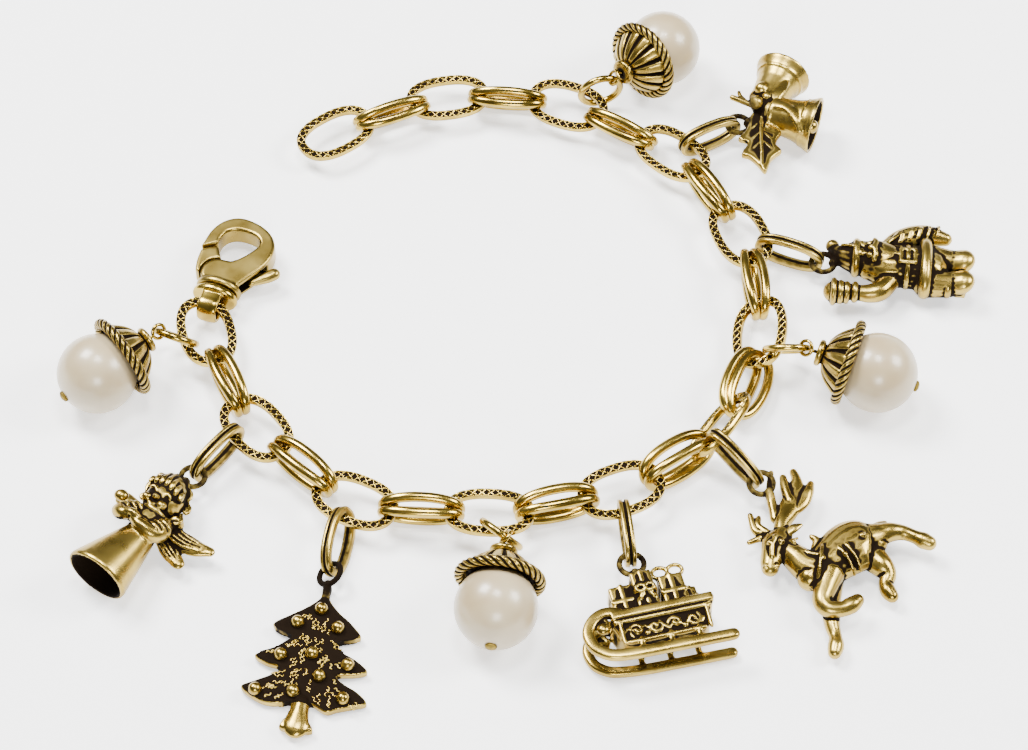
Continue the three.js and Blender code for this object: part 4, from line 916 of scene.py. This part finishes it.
def reindeerFigure():
    # leaps to the right on its side, head turned to the viewer under a broad antler
    shapes = eyeAndNeck("reindeer", 0.6, (0.9, -1.3, 2.6), (1.2, -3, 2.4), (1.4, -5, 2.3))
    shapes += [limb(rows, 16) for rows in reindeerLimbs]
    hooves = [(14.6, -15.2, 1.5), (10.2, -17.3, 2.8), (7.7, -22.8, 1.3), (19.3, -8.5, 2.6)]
    shapes += balls(*((*place, 0.95, 1, 0.95) for place in hooves), (0.5, -9.5, 3.9, 0.36),
                    (1.9, -9.3, 3.9, 0.36))
    shapes += strokes([(0.24, (x, -12.6, 3.1), (x + 0.3, -12.4, 3.3)) for x in (-0.3, 1.1)])
    shapes += strokes([(0.28, (0.7, -11.2, 3.65), (0.8, -9.8, 3.9), (1.2, -8.6, 3.95))])
    t = np.linspace(0, 1, 12)[:, None]
    arch = 2.45 + 2.16 * np.sqrt(1 - (2 * t - 1) ** 2 * 0.92)
    for start, end in (((6.8, -9.2), (5.9, -14.9)), ((7.9, -9.2), (10.4, -13.6)), ((8.7, -8.7), (11.2, -13))):
        shapes.append(tube(np.hstack([np.array(start) * (1 - t) + np.array(end) * t, arch]), 0.2, around=8))
    shapes += strokes([(0.2, (4, -10, 3.6), (5.2, -11, 4), (6.8, -11.6, 4.35)),
                       (0.2, (2.3, -10, 3.35), (3, -9, 3.5), (3.9, -8.4, 3.2))])
    shapes += balls((6.6, -12, 4.4, 0.32), (9.3, -11.6, 4.6, 0.32), (11.6, -8.8, 4.5, 0.32),
                    (3.4, -9.3, 3.8, 0.32))
    for t in np.linspace(0, 1, 7):  # hair along the throat
        x, y = 3.6 + 2.6 * t, -11.6 - 3.4 * t
        hair = [(x + 0.9, y + 0.8, 3.3 + 0.6 * t), (x + 0.1, y, 3.3 + 0.4 * t), (x - 0.5, y - 0.9, 2.9)]
        shapes.append(stroke(hair, 0.2, 0.17))
    return cast(shapes)


santaLimbs = [
    # hat, beard and coat
    [(1.2, 2.4, 2.6, 0.55), (1.6, 1.8, 2.7, 0.9), (2.6, 1.2, 2.8, 1.6), (3.8, 0.9, 2.9, 2.1, 2),
     (4.4, 0.8, 2.9, 2.2, 2.1)],
    [(5.2, 0.7, 3.6, 1.9, 1.2), (6.6, 0.7, 4, 2.2, 1.2), (8.4, 0.3, 4.3, 1.7, 1.1),
     (9.6, -0.2, 4.4, 0.7, 0.6)],
    [(6.2, 0.2, 2.7, 2.3, 2.1), (8, 0, 2.7, 3, 2.5), (10, 0, 2.8, 2.85, 2.4), (10.8, 0, 2.8, 2.75, 2.4)],
    # raised arm and sack
    [(8.6, -2.4, 2.8, 1.3), (7.4, -4.2, 2.9, 1.35), (6, -4.8, 2.9, 1.2), (4.6, -4.8, 2.9, 1),
     (3.8, -4.7, 2.9, 0.9)],
    [(8, 2.4, 2.7, 1.4), (9.6, 4, 2.8, 1.6), (11.4, 5, 2.8, 1.6), (13.4, 5.5, 2.7, 1.4),
     (15.4, 5.3, 2.6, 0.9)],
    # legs and mitten
    [(13.2, 1.8, 2.7, 1.9), (15.4, 1.6, 2.6, 1.7), (16.6, 1.5, 2.7, 1.6), (17.6, 1.4, 3.2, 1.7, 1.3)],
    [(13.2, -2.2, 2.7, 1.9), (15.4, -2.1, 2.6, 1.7), (16.6, -2, 2.7, 1.6), (17.6, -2, 3.2, 1.7, 1.3)],
    [(3.8, -4.7, 2.8, 0.95), (3.2, -4.7, 2.8, 1.2), (2.6, -4.8, 2.8, 1.25), (1.9, -4.9, 2.8, 1.4),
     (1.6, -4.9, 2.8, 1.4)],
]


def santaFigure():
    # lies on his back with his head at the eye, one arm raised past it and the sack on his other side
    shapes = eyeAndNeck("santa", 0.62, (1.3, 0.1, 2.4), (2.2, 0.4, 2.7), (3.4, 0.9, 2.9))
    shapes += [limb(rows, 16) for rows in santaLimbs] + [ball(5.2, 0.8, 2.9, 2.25, 1.05, 0.98)]
    shapes.append(limb([(9.6, 0, 2.9, 2.9, 2.3), (11.6, 0, 2.9, 3.1, 2.35), (12.4, 0, 2.9, 3.4, 2.4)], 20, 4))
    # fur on the hem, belt, brim and trouser cuffs, and the boots' toes
    shapes += [hoop(12.9, 0, 2.9, 3.7, 2.1, 0.78, around=12), hoop(10.6, 0, 2.9, 2.75, 2.3, 0.34, 0.3, 12),
               hoop(4.1, 0.8, 2.95, 2.15, 1.95, 0.5)]
    shapes += [hoop(15.9, y, 2.6, 1.25, 1.15, 0.42) for y in (1.6, -2.3)]
    shapes += [block((16.9, 18.2), y, (1.5, 3.8), 0.4) for y in ((0.5, 2.8), (-3.4, -1.1))]
    buckle = [(9.7, -1, 5.25), (11.5, -1, 5.25), (11.5, 1, 5.25), (9.7, 1, 5.25)]
    shapes += strokes([(0.26, a, b) for a, b in zip(buckle, buckle[1:] + buckle[:1])])
    face = 4.75
    shapes += balls((5.9, 0.8, face + 0.5, 0.42), (5.1, 1.5, face + 0.28, 0.2), (5.1, 0.1, face + 0.28, 0.2),
                    (5.8, 1.7, face + 0.05, 0.5), (5.8, -0.1, face + 0.05, 0.5))
    shapes += strokes([(0.16, (4.75, y + 0.4, face + 0.35), (4.65, y, face + 0.45),
                        (4.8, y - 0.4, face + 0.35))
                       for y in (1.5, 0.1)])
    for way in (-1, 1):  # moustache
        points = [(6.3, 0.8 + 0.15 * way, face + 0.75), (6.5, 0.8 + way, face + 0.6),
                  (6.3, 0.8 + 1.6 * way, face + 0.3)]
        shapes.append(stroke(points, 0.32, 0.22))
    for k in range(9):  # beard
        y, out = -1.7 + 0.42 * k, abs(k - 4)
        tip = (9.7 - 0.25 * out ** 1.3, 0.2 + y * 0.35)
        shapes.append(waves((6.6, 0.8 + y * 0.9), tip, 5.18 - 0.12 * out, 3, 0.14, 0.2))
    shapes += strokes([(0.2, (2.2, 1.5, 4.5), (3, 1.2, 4.95), (3.9, 1, 5.05))])
    shapes += [ball(1.1, 2.7, 2.6, 0.9), hoop(4.2, -4.75, 2.9, 1.05, 1, 0.38)]
    for x, radius in ((1.5, 1.5), (2.4, 1.25), (3.2, 1.15)):  # bands of the mitten
        shapes.append(hoop(x, -4.85, 2.8, radius, radius, 0.34))
    shapes.append(ball(1.1, -4.9, 2.8, 0.6))
    for k in range(5):  # folds of the sack
        x, y = 9.6 + 1.15 * k, 4.1 + 1.3 * np.sin(k / 8 * np.pi)
        shapes.append(stroke([(x, y - 0.9, 4.1), (x + 0.25, y + 0.3, 4.35), (x + 0.2, y + 1.2, 3.4)], 0.2))
    return cast(shapes + strokes([(0.26, (7.4, 1.8, 4.6), (8.6, 3.2, 4.5), (9.4, 4.4, 4.1)),
                                  (0.16, (11, 0.2, 5.2), (12.2, 0.25, 5.25))]))


angelLook = {
    "skirt": [(8.8, 1.2), (9, 1.75), (9.9, 2), (11.6, 2.5), (13.6, 3.05), (15.6, 3.6), (17.4, 4.1),
              (18.2, 4.3), (18.6, 4.2), (18.6, 3.75), (18.1, 3.6), (16, 3.05), (13.6, 2.4), (11.4, 1.7),
              (10.9, 0.8)],
    "limbs": [  # body, arms, hands, and then the three wings that show
        [(6.2, -0.6, 3.8, 1.5), (7.6, -0.2, 3.9, 2, 1.9), (9, 0.1, 4.1, 1.9, 1.8),
         (10.4, 0.2, 4.2, 1.7, 1.7)],
        [(7.4, -1.6, 4.2, 1.05), (8.6, -2.8, 4.7, 1.15), (9.5, -3.2, 5.2, 1.1), (9.9, -2.4, 5.9, 0.95),
         (9.9, -1.6, 6.2, 0.6)],
        [(7.4, 1.6, 4.2, 1.05), (8.8, 2.3, 4.6, 1.2), (9.9, 1.9, 5.2, 1.15), (10.1, 0.6, 5.9, 0.95),
         (9.9, -0.6, 6.2, 0.6)],
        [(9.6, -1.9, 6.4, 0.6), (9.5, -1.1, 6.6, 0.62), (9.6, -0.4, 6.4, 0.55)],
        [(6.9, 1.4, 2.9, 1, 0.6), (7.2, 3.6, 2.6, 1.5, 0.55), (6.9, 5.6, 2.4, 1.4, 0.5),
         (6.2, 7.3, 2.3, 0.8, 0.4)],
        [(8.2, 1.8, 2.6, 1, 0.55), (9.2, 3.8, 2.3, 1.2, 0.5), (9.9, 5.6, 2.1, 0.9, 0.4)],
        [(7.6, -1.8, 2.9, 0.9, 0.6), (7, -3.8, 2.9, 1.3, 0.6), (6.6, -5.3, 2.9, 1.2, 0.55)],
    ],
    "curls": [(2, -1.6), (1.9, 0.2), (2.6, 1.3), (3.8, 2), (2.7, -2.7), (3.9, -3.3), (5, 1.9), (5.1, -3.4),
              (3, -0.6), (3.6, 0.8), (3.5, -2)],
    "arms": [((7.9, -2.2, 4.45), (9.7, -3.2, 5.6)), ((8.2, 2.1, 4.5), (10.1, 1.6, 5.5))],
    "skirtFrom": 11.2, "skirtAxis": (0.6, 3.9),
}


def angelFigure():
    # doll laid on its back; the skirt is a hollow cone along X with its mouth away from the eye
    look = angelLook
    skirt = turned([(x, radius * 0.95) for x, radius in look["skirt"]], 96)
    skirt = moved((skirt[0] * [1, 1, 0.9], *skirt[1:]), turnAbout("z", 1.5), (0, 0.1, 3.9))
    shapes = eyeAndNeck("angel", 0.7, (1.2, -0.3, 2.4), (2.4, -0.5, 2.9), (3.6, -0.6, 3.3)) + [skirt]
    shapes += [limb(rows, 14) for rows in look["limbs"]]
    shapes += balls((4.7, -1, 3.8, 2.35, 1, 0.97), (3.9, -0.8, 3.6, 2.45, 1, 0.92),
                    (7.4, -4.9, 5, 0.9, 1, 0.7))
    for t, radius in ((0, 1.32), (0.34, 1.3), (0.68, 1.18)):  # bands of the sleeves
        for start, end in np.array(look["arms"]):
            way = normed(end - start)
            side = normed(np.cross(way, [0, 0, 1]))
            x, y = circle(40, radius * 0.92)[:, :2].T[..., None]
            path = start + (end - start) * t + x * side + y * np.cross(side, way)
            shapes.append(tube(path, 0.24, up=way, around=8, closed=True))
    for k, (x, y) in enumerate(look["curls"]):
        away = np.hypot(x - 4.4, y + 0.9) / 2.6
        shapes.append(curl(x, y, 5.8 - 1.9 * away ** 2, 0.7, 1.4, 0.22, 47 * k))
    shapes += [ball(5.9, 2.2, 3.4, 0.95), ball(6.8, 1.9, 3.9, 0.8), curl(5.9, 2.2, 4.5, 0.8, 1.4, 0.22, 30)]
    face = 6.0
    shapes += balls((5.5, -1.05, face + 0.2, 0.4), (5.9, 0.1, face - 0.45, 0.62),
                    (5.9, -2.2, face - 0.45, 0.62))
    shapes += strokes([(0.2, (6.3, -0.6, face - 0.25), (6.5, -1.05, face - 0.2), (6.3, -1.5, face - 0.25))])
    shapes += strokes([(0.17, (4.55, y - 0.45, face - 0.1), (4.35, y, face - 0.05),
                        (4.55, y + 0.45, face - 0.1))
                       for y in (0, -2.1)])
    for k in range(7):  # hair over the forehead
        y = -3.4 + 0.8 * k
        bend = (y + 1) ** 2 * 0.16
        rows = [(1.9, 1, 0.8, -0.2, 4.6, 0.9), (3, 0.5, 0.92, 0, 5.8, 0.7), (3.5, 0.4, 0.96, 0, 5.9, 0.65)]
        lock = [(x + bend * out, y * wide + by, z - bend * low) for x, out, wide, by, z, low in rows]
        shapes.append(stroke(lock, 0.3, 0.26))
    shapes += [hoop(6.9, -0.4, 3.9, 1.75, 1.75, 0.36, None, 8, 40),
               hoop(9.2, 0.15, 4.15, 1.85, 1.85, 0.3, None, 8, 40)]
    for k in range(4):  # feathers
        shapes += strokes([
            (0.16, (6.2 + 0.6 * k, 2.4, 3.35), (6.3 + 0.55 * k, 4.6, 3.05), (6 + 0.35 * k, 6.6, 2.7)),
            (0.14, (8 + 0.5 * k, 2.6, 3.1), (8.7 + 0.5 * k, 4.4, 2.7), (9.4 + 0.3 * k, 5.6, 2.4))])
    # all but the eye leans towards the head's side, most at the head
    for k, (points, *faces) in enumerate(shapes[1:], 1):
        lean = np.clip((18 - points[:, :1]) / 13, 0, 1) * np.clip(points[:, :1] / 4 - 0.2, 0, 1)
        shapes[k] = (points + lean * [1.1, 1.1, -0.25], *faces)
    shape, wearAndShade = cast(shapes)
    points = shape[0]
    out = points[:, 1:] - look["skirtAxis"]
    onSkirt = points[:, 0] > look["skirtFrom"]
    hollow = onSkirt & ((normalsOf(shape)[:, 1:] * out).sum(1) < 0) & (np.linalg.norm(out, axis=1) < 3.7)
    for y in (1.05, -0.9):
        wearAndShade = np.where(near(points, 6.2, y, 0.3) & (points[:, 2] > 4.6), 0.1, wearAndShade)
    wearAndShade = np.where((points[:, 1] > 3.4) & ~onSkirt, wearAndShade * 0.85, wearAndShade)
    return shape, np.where(hollow, 0.05, np.where(onSkirt, np.maximum(wearAndShade, 0.74), wearAndShade))


bellsLook = {
    "apex": (3, 1.1, 3.8), "headings": (-20, 64),
    "bell": [(0, 0.5), (0.05, 1), (0.35, 1.7), (0.9, 2.15), (1.6, 2.35), (3.2, 2.5), (4.6, 2.7), (5.6, 3),
             (6.5, 3.4), (7.1, 3.72), (7.4, 3.8), (7.5, 3.6), (7.3, 3.3), (6.4, 2.75), (5.2, 2.2), (3.2, 1.6),
             (1.4, 1.3), (1.1, 0.5)],
    "leaf": [(4.3, 0.9), (4.4, -0.7), (4.4, -1.9), (5.4, -3), (4.9, -4.1), (4.6, -5.1), (5.3, -6.3),
             (4.5, -7.1), (3.8, -8), (3, -9.9), (1.9, -8.4), (1, -7.4), (0, -6.9), (0.8, -5.6), (0.9, -4.7),
             (-0.3, -4.2), (0.7, -2.9), (1.2, -1.6), (1.8, 0.3)],
    "ribbons": [
        [(3.4, 0.6, 5.4, 0.7, 0.3), (5, 0.2, 6.2, 0.75, 0.26), (6.4, -0.8, 6.5, 0.7, 0.24),
         (7.4, -2.4, 6.2, 0.75, 0.24), (7.8, -3.6, 5.6, 0.6, 0.22)],
        [(3.4, 0.8, 5.4, 0.6, 0.28), (4.6, 1.6, 6, 0.7, 0.26), (5.6, 2.9, 6.1, 0.75, 0.24),
         (6.2, 4.3, 5.9, 0.55, 0.22)],
    ],
    "innerWall": ([1.2, 3.2, 5.2, 6.4, 7.3], [1.8, 2, 2.4, 2.9, 3.4]),  # distance from the apex, radius
}


def bellsFigure():
    # two flared bells from one apex, each hollow with a lip, a shoulder line and a clapper; holly over them
    look = bellsLook
    apex = np.array(look["apex"])
    shapes = eyeAndNeck("bells", 0.65, (1.3, 0.2, 2.4), (2.2, 0.5, 3), (3.3, 0.8, 3.8))
    for heading in look["headings"]:
        bell = [turned(look["bell"], 96)]
        bell += [hoop(x, 0, 0, radius, radius, 0.13, None, 8, 80) for x, radius in ((1.5, 2.36), (5.9, 3.14))]
        bell += [stroke([(1, 0, 0), (6.4, 0, -0.3)], 0.35), ball(6.9, 0, -0.35, 0.95)]
        shapes += [moved(shape, turnAbout("z", heading), apex) for shape in bell]
    shapes += [ball(3.3, 1, 4.2, 1.5), plate(bentOutline(look["leaf"], 5), 3.6, 4.6, 0.25)]
    shapes += strokes([(0.22, (3, 0.2, 4.7), (2.7, -4, 4.75), (2.6, -9, 4.5))])
    for y, reach in ((-2.2, 1.2), (-4, 1.3), (-5.6, 1.2)):
        shapes += strokes([(0.14, (2.8, y + 0.9, 4.62), (2.8 + side * 0.6, y + 0.1, 4.6),
                            (2.8 + side, y - 0.5, 4.5))
                           for side in (-reach, reach)])
    shapes += balls((3, 3.3, 5.7, 0.95), (2.2, 0.9, 5.7, 0.95), (3.7, 1.9, 5.6, 0.75))
    shapes += strokes([(0.42, (2.8, 1.4, 4), (1.2, 2.4, 3.9), (-0.7, 3.4, 3.9)),
                       (0.3, (1.4, 2.3, 3.9), (0.4, 3.6, 3.9), (0.2, 4.4, 3.8))])
    shape, wearAndShade = cast(shapes + [limb(rows, 14, 6) for rows in look["ribbons"]])
    inside = False
    for heading in look["headings"]:
        back = turnAbout("z", heading)
        local = (shape[0] - apex) @ back
        x, out = local[:, 0], np.hypot(local[:, 1], local[:, 2])
        inward = ((normalsOf(shape) @ back) * local)[:, 1:].sum(1) < 0
        limit = np.interp(x, *look["innerWall"])
        inside |= (x > 1.2) & (x < 7.3) & (out < limit + 0.2) & inward
        wearAndShade = np.where((x > 1.4) & (x < 7.6) & (out < 4) & (out > limit), np.maximum(wearAndShade, 0.7), wearAndShade)
    return shape, np.where(inside, 0.06, wearAndShade)


def addFigures():
    size, bail = eyeSizes, bailSizes
    figures = {"angel": angelFigure, "tree": treeFigure, "sleigh": sleighFigure, "reindeer": reindeerFigure,
               "santa": santaFigure, "bells": bellsFigure}
    for name, make in figures.items():
        node = f"{name}_charm"
        centre, turn = axesOf(f"{name}_bail", centreOf(node))
        flat = turn[:, 0] * [1, 1, 0]
        inner = bail["length"] / 2 - bail["thick"] - bail["play"] - size["wire"] / 2
        eye = centre + flat * inner + normed(flat) * (size["outer"] - size["wire"]) / 2
        eye[2] = cadBox[0][2] / mm
        shape, wearAndShade = make()
        # patina stays in the eye ring and the neck below it
        reach = np.linalg.norm(shape[0][:, :2], axis=1)
        wearAndShade = wearAndShade * np.clip(0.5 + 0.2 * (reach - size["outer"] / 2), 0.5, 1)
        shape = moved(shape, turnAbout("z", figurePlaces[name]["turn"]), eye)
        addPiece(f"{name}Charm", shape, node, castGold, wearAndShade)
        print("figure", name, len(shape[1]), "faces")


# Clasp: along X from the first link's wire, flat sides up and down

claspSizes = {
    "heading": 72, "thick": 2.8, "scale": 10.7, "plate": 3.175, "bodyStart": 2.175, "swivelStart": 0.875,
    "collarWide": 6.0, "collarHigh": 4.6, "collarThick": 1.0, "loopInner": -1.425, "loopLong": 2.3,
    "wall": 0.7, "loopWide": 2.6, "opening": 2.2, "post": 1.6, "bore": 2.0, "pin": 0.84, "pinBore": 1.3,
    "slot": 1.5, "gap": 0.25, "voxel": 0.1, "carvingVoxel": 0.07,
}


def bezier(points, count=14):
    # cubic curve from its four points
    a, b, c, d = np.asarray(points, float)
    t = np.linspace(0, 1, count, endpoint=False)[:, None]
    return a * (1 - t) ** 3 + 3 * b * t * (1 - t) ** 2 + 3 * c * t ** 2 * (1 - t) + d * t ** 3


def polar(centre, radius, degrees):
    angle = np.radians(degrees)
    return np.asarray(centre) + np.multiply.outer(radius, np.stack([np.cos(angle), np.sin(angle)], -1))


def arc(centre, radius, start, end, count):
    return polar(centre, radius, np.linspace(start, end, count))


def rodOf(start, end, radius, core, around=32):
    # rod along X, hollow inside its core
    return turned([(start, core), (start, radius), (end, radius), (end, core)], around)


def collarOf(start):
    # thick oval disc along X with a rounded edge
    size = claspSizes
    thick = size["collarThick"]
    rows = [(0, 0.3), (0, 0.42), (0.03, 0.46), (thick * 0.2, 0.488), (thick / 2, 0.5), (thick * 0.8, 0.488),
            (thick - 0.03, 0.46), (thick, 0.42), (thick, 0.3)]
    points, *faces = turned([(start + x, radius) for x, radius in rows], 96)
    return points * [1, size["collarWide"], size["collarHigh"]], *faces


def carved(shapes, tools):
    # fuses the shapes and cuts the tools out of them
    things = [thingOf("carving", meshOf("carving", merge([fused(shapes, claspSizes["carvingVoxel"], 0)]))),
              thingOf("tool", meshOf("tool", merge(tools)))]
    cut = things[0].modifiers.new("cut", "BOOLEAN")
    cut.operation, cut.solver, cut.object = "DIFFERENCE", "EXACT", things[1]
    evaluated = things[0].evaluated_get(bpy.context.evaluated_depsgraph_get())
    mesh = evaluated.to_mesh()
    mesh.calc_loop_triangles()
    points, tris = np.empty(len(mesh.vertices) * 3), np.empty(len(mesh.loop_triangles) * 3, int)
    mesh.vertices.foreach_get("co", points)
    mesh.loop_triangles.foreach_get("vertices", tris)
    evaluated.to_mesh_clear()
    for thing in things:
        bpy.data.objects.remove(thing)
    return points.reshape(-1, 3), np.empty((0, 4), int), tris.reshape(-1, 3)


def hookShape(pivot, inside):
    # flat hook: its outline as cubics in shares of the scale, closed by an arc round the lever's pivot
    size = claspSizes
    scale, start = size["scale"], size["plate"]
    ends = [(-0.05, -0.2), (0.58, -0.46), (0.98, 0.04), (0.6, 0.385), (0.42, 0.4), (0.53, 0.22), (0.79, 0.03),
            (0.62, -0.25), (0.3, 0)]
    pulls = [(0.2, -0.34), (0.38, -0.47), (0.84, -0.45), (0.97, -0.2), (0.98, 0.24), (0.8, 0.37),
             (0.54, 0.39), (0.48, 0.395), (0.46, 0.34), (0.49, 0.28), (0.66, 0.24), (0.78, 0.18),
             (0.8, -0.16), (0.74, -0.27), (0.5, -0.2), (0.36, -0.1)]
    curves = [bezier([ends[k], pulls[2 * k], pulls[2 * k + 1], ends[k + 1]]) for k in range(len(ends) - 1)]
    run = np.vstack(curves) * scale + [start, 0]
    run = np.vstack([run, arc(pivot, inside, 0, 115, 18), [[start - 0.05 * scale, 0.2 * scale]]])
    return plate(densified(run, 0.4), -size["thick"] / 2, size["thick"] / 2, 0.32)


def strapShape():
    # strap bent round the first link's wire, from one side of the collar to the other
    size = claspSizes
    half, back = (size["opening"] + size["wall"]) / 2, size["loopInner"]
    end = back + size["loopLong"]
    upper = [(end + 0.2, 1), (end - 0.8, 1), (back + 0.6, 0.98), (back - 0.2, 0.6)]
    rows = [(x, 0, half * share) for x, share in upper] + [(back - 0.35, 0, 0)]
    rows += [(x, 0, -z) for x, y, z in rows[3::-1]]
    return tube(splined(rows, 6), size["wall"] / 2, size["loopWide"] / 2, up=(0, 1, 0), around=20, power=3.0)


def leverShapes(pivot, gap):
    # gate that closes the hook, web round the pivot, arm and thumb grip
    size = claspSizes
    scale, half = size["scale"], size["thick"] / 2 - 0.15
    spot = lambda radius, degrees: polar(pivot, radius, degrees)
    places = [(0.395, 19), (0.415, 29), (0.42, 39), (0.42, 49)]
    tip = [spot(share * scale, degrees) for share, degrees in places]
    back = [tip[3], spot(0.35 * scale, 65), spot(0.31 * scale, 80), spot(gap + 0.45, 105)]
    gate = np.vstack([[spot(gap, 10), tip[0]], bezier(tip, 8)[1:], bezier(back, 10),
                      arc(pivot, gap, 105, 11, 16)])
    web = np.vstack([arc(pivot, 0.09 * scale, -100, 120, 20), [spot(gap + 0.2, 92), spot(gap + 0.2, 30)]])
    arm = [(*spot(radius, -70), 0, wide, high) for radius, wide, high in (
        (0.02, 0.55, 0.5), (0.3 * scale, 0.5, 0.48), (0.5 * scale, 0.55, 0.5))]
    grip = [(4.9, -3.6, 0, 0.5, 0.48), (5.6, -4.4, 0, 0.6, 0.6), (6.4, -5.2, 0, 0.78, 0.72),
            (7.1, -5.8, 0, 0.82, 0.76)]
    return [plate(densified(gate, 0.4), -half, half, 0.3), plate(densified(web, 0.4), -0.5, 0.5, 0.1),
            limb(arm, 16, 4), limb(grip, 18, 5)]


def addClasp():
    size = claspSizes
    along, side = unit(size["heading"]), unit(size["heading"] + 90)
    corners = cornersOf("clasp_swivel_bail")
    reach, across = corners @ along, corners @ side
    origin = along * (reach.min() - size["loopInner"] + size["wall"])
    origin = origin + side * (across.min() + across.max()) / 2
    origin[2] = (corners[:, 2].min() + corners[:, 2].max()) / 2
    scale, start = size["scale"], size["plate"]
    pivot = np.array([start + 0.11 * scale, 0.07 * scale])
    inside = 0.2 * scale

    def acrossPivot(half, radius, core):
        return moved(rodOf(-half, half, radius, core), turnAbout("y", 90), (*pivot, 0))

    def place(name, shapes, node, material, bright, body, slotWear=None):
        shape = fused(shapes, size["voxel"], 3)
        wearAndShade = np.clip(patinaAndShadeOf(shape, 0.2) + bright, 0, 1)
        if slotWear is not None:
            inSlot = (np.abs(shape[0][:, 2]) < 0.85) & (np.abs(normalsOf(shape)[:, 2]) > 0.5)
            wearAndShade = np.where(inSlot, slotWear, wearAndShade)
        shape = moved(shape, turnAbout("z", size["heading"]), origin)
        addPiece(name, shape, node, material, wearAndShade, body)

    post = rodOf(size["swivelStart"] + 0.3, start - 0.6, size["post"] / 2, 0.3, 48)
    place("claspSwivelBail", [strapShape(), collarOf(size["swivelStart"]), post], "clasp_swivel_bail",
          polishedGold, 0.25, "bracelet")
    high = size["slot"] / 2
    slot = block((start + 0.01 * scale, start + 0.43 * scale), (-scale, scale), (-high, high), 0.02)
    bore = rodOf(size["bodyStart"] - 1, start - 0.35, size["bore"] / 2, 0.4, 48)
    body = carved([hookShape(pivot, inside), collarOf(size["bodyStart"])], [slot, bore])
    place("claspBody", [body, acrossPivot(1.2, size["pin"] / 2, 0.2)], "clasp_body", satinGold, 0.3,
          "clasp", slotWear=0.1)
    lever = carved(leverShapes(pivot, inside + size["gap"]), [acrossPivot(2, size["pinBore"] / 2, 0.3)])
    place("claspLever", [lever], "clasp_lever", satinGold, 0.3, "lever")
    print("clasp done")


# Surface, lights and camera

stageLook = {
    "ground": 1.2, "groundLow": -0.0001,
    "lamps": [  # name, place, size in metres and power in watts
        ("keyLight", (-0.28, 0.22, 0.5), 0.22, 9.0), ("fillLight", (0.42, 0.05, 0.36), 0.2, 4.5),
        ("frontLight", (0.02, -0.5, 0.3), 0.16, 2.4), ("topLight", (0.02, 0.05, 0.6), 0.16, 4.0),
    ],
    "world": 0.16, "lens": 112.06, "sensor": 36.0, "rise": 53, "distance": 0.4,
    "target": (-0.0008, -0.00167, 0.0),
}


def aimed(thing, place, target=(0, 0, 0)):
    # sets a lamp or camera at its place, looking at the target
    thing.location = place
    thing.rotation_euler = (Vector(target) - thing.location).to_track_quat("-Z", "Y").to_euler()
    return thing


def addStage():
    look = stageLook
    make = Maker("whiteGround")
    fibre = make.noise(240, 4)
    make.feed(make.surface, {
        "Base Color": make.mix(fibre, colour(0.86, 0.86, 0.86), colour(0.90, 0.90, 0.90)),
        "Roughness": fibre * 0.1 + 0.55,
        "Specular IOR Level": 0.25, "Emission Color": colour(1, 1, 1), "Emission Strength": 1.0,
    })
    mesh = bpy.data.meshes.new("ground")
    reach, low = look["ground"], look["groundLow"]
    corners = [(-reach, -reach, low), (reach, -reach, low), (reach, reach, low), (-reach, reach, low)]
    mesh.from_pydata(corners, [], [(0, 1, 2, 3)])
    mesh.materials.append(make.material)
    thingOf("ground", mesh)
    for name, place, size, power in look["lamps"]:
        data = bpy.data.lights.new(name, "AREA")
        data.shape, data.size, data.energy = "SQUARE", size, power
        aimed(thingOf(name, data), place)
    world = bpy.data.worlds.new("paleRoom")
    world.use_nodes = True
    background = world.node_tree.nodes["Background"]
    background.inputs["Color"].default_value = (1, 1, 1, 1)
    background.inputs["Strength"].default_value = look["world"]
    bpy.context.scene.world = world
    data = bpy.data.cameras.new("photoCamera")
    data.lens, data.sensor_width = look["lens"], look["sensor"]
    data.clip_start, data.clip_end = 0.01, 10.0
    data.dof.use_dof = False
    rise = np.radians(look["rise"])
    place = Vector(look["target"]) + look["distance"] * Vector((0.0, -np.cos(rise), np.sin(rise)))
    bpy.context.scene.camera = aimed(thingOf("photoCamera", data), place, look["target"])


addChain()
addBails(figurePlaces)
addDrops()
addFigures()
addClasp()
addStage()
pieces = [thing for thing in bpy.data.objects if thing.type == "MESH" and thing.name not in nodes]
print("triangles:", sum(len(face.vertices) - 2 for piece in pieces for face in piece.data.polygons))
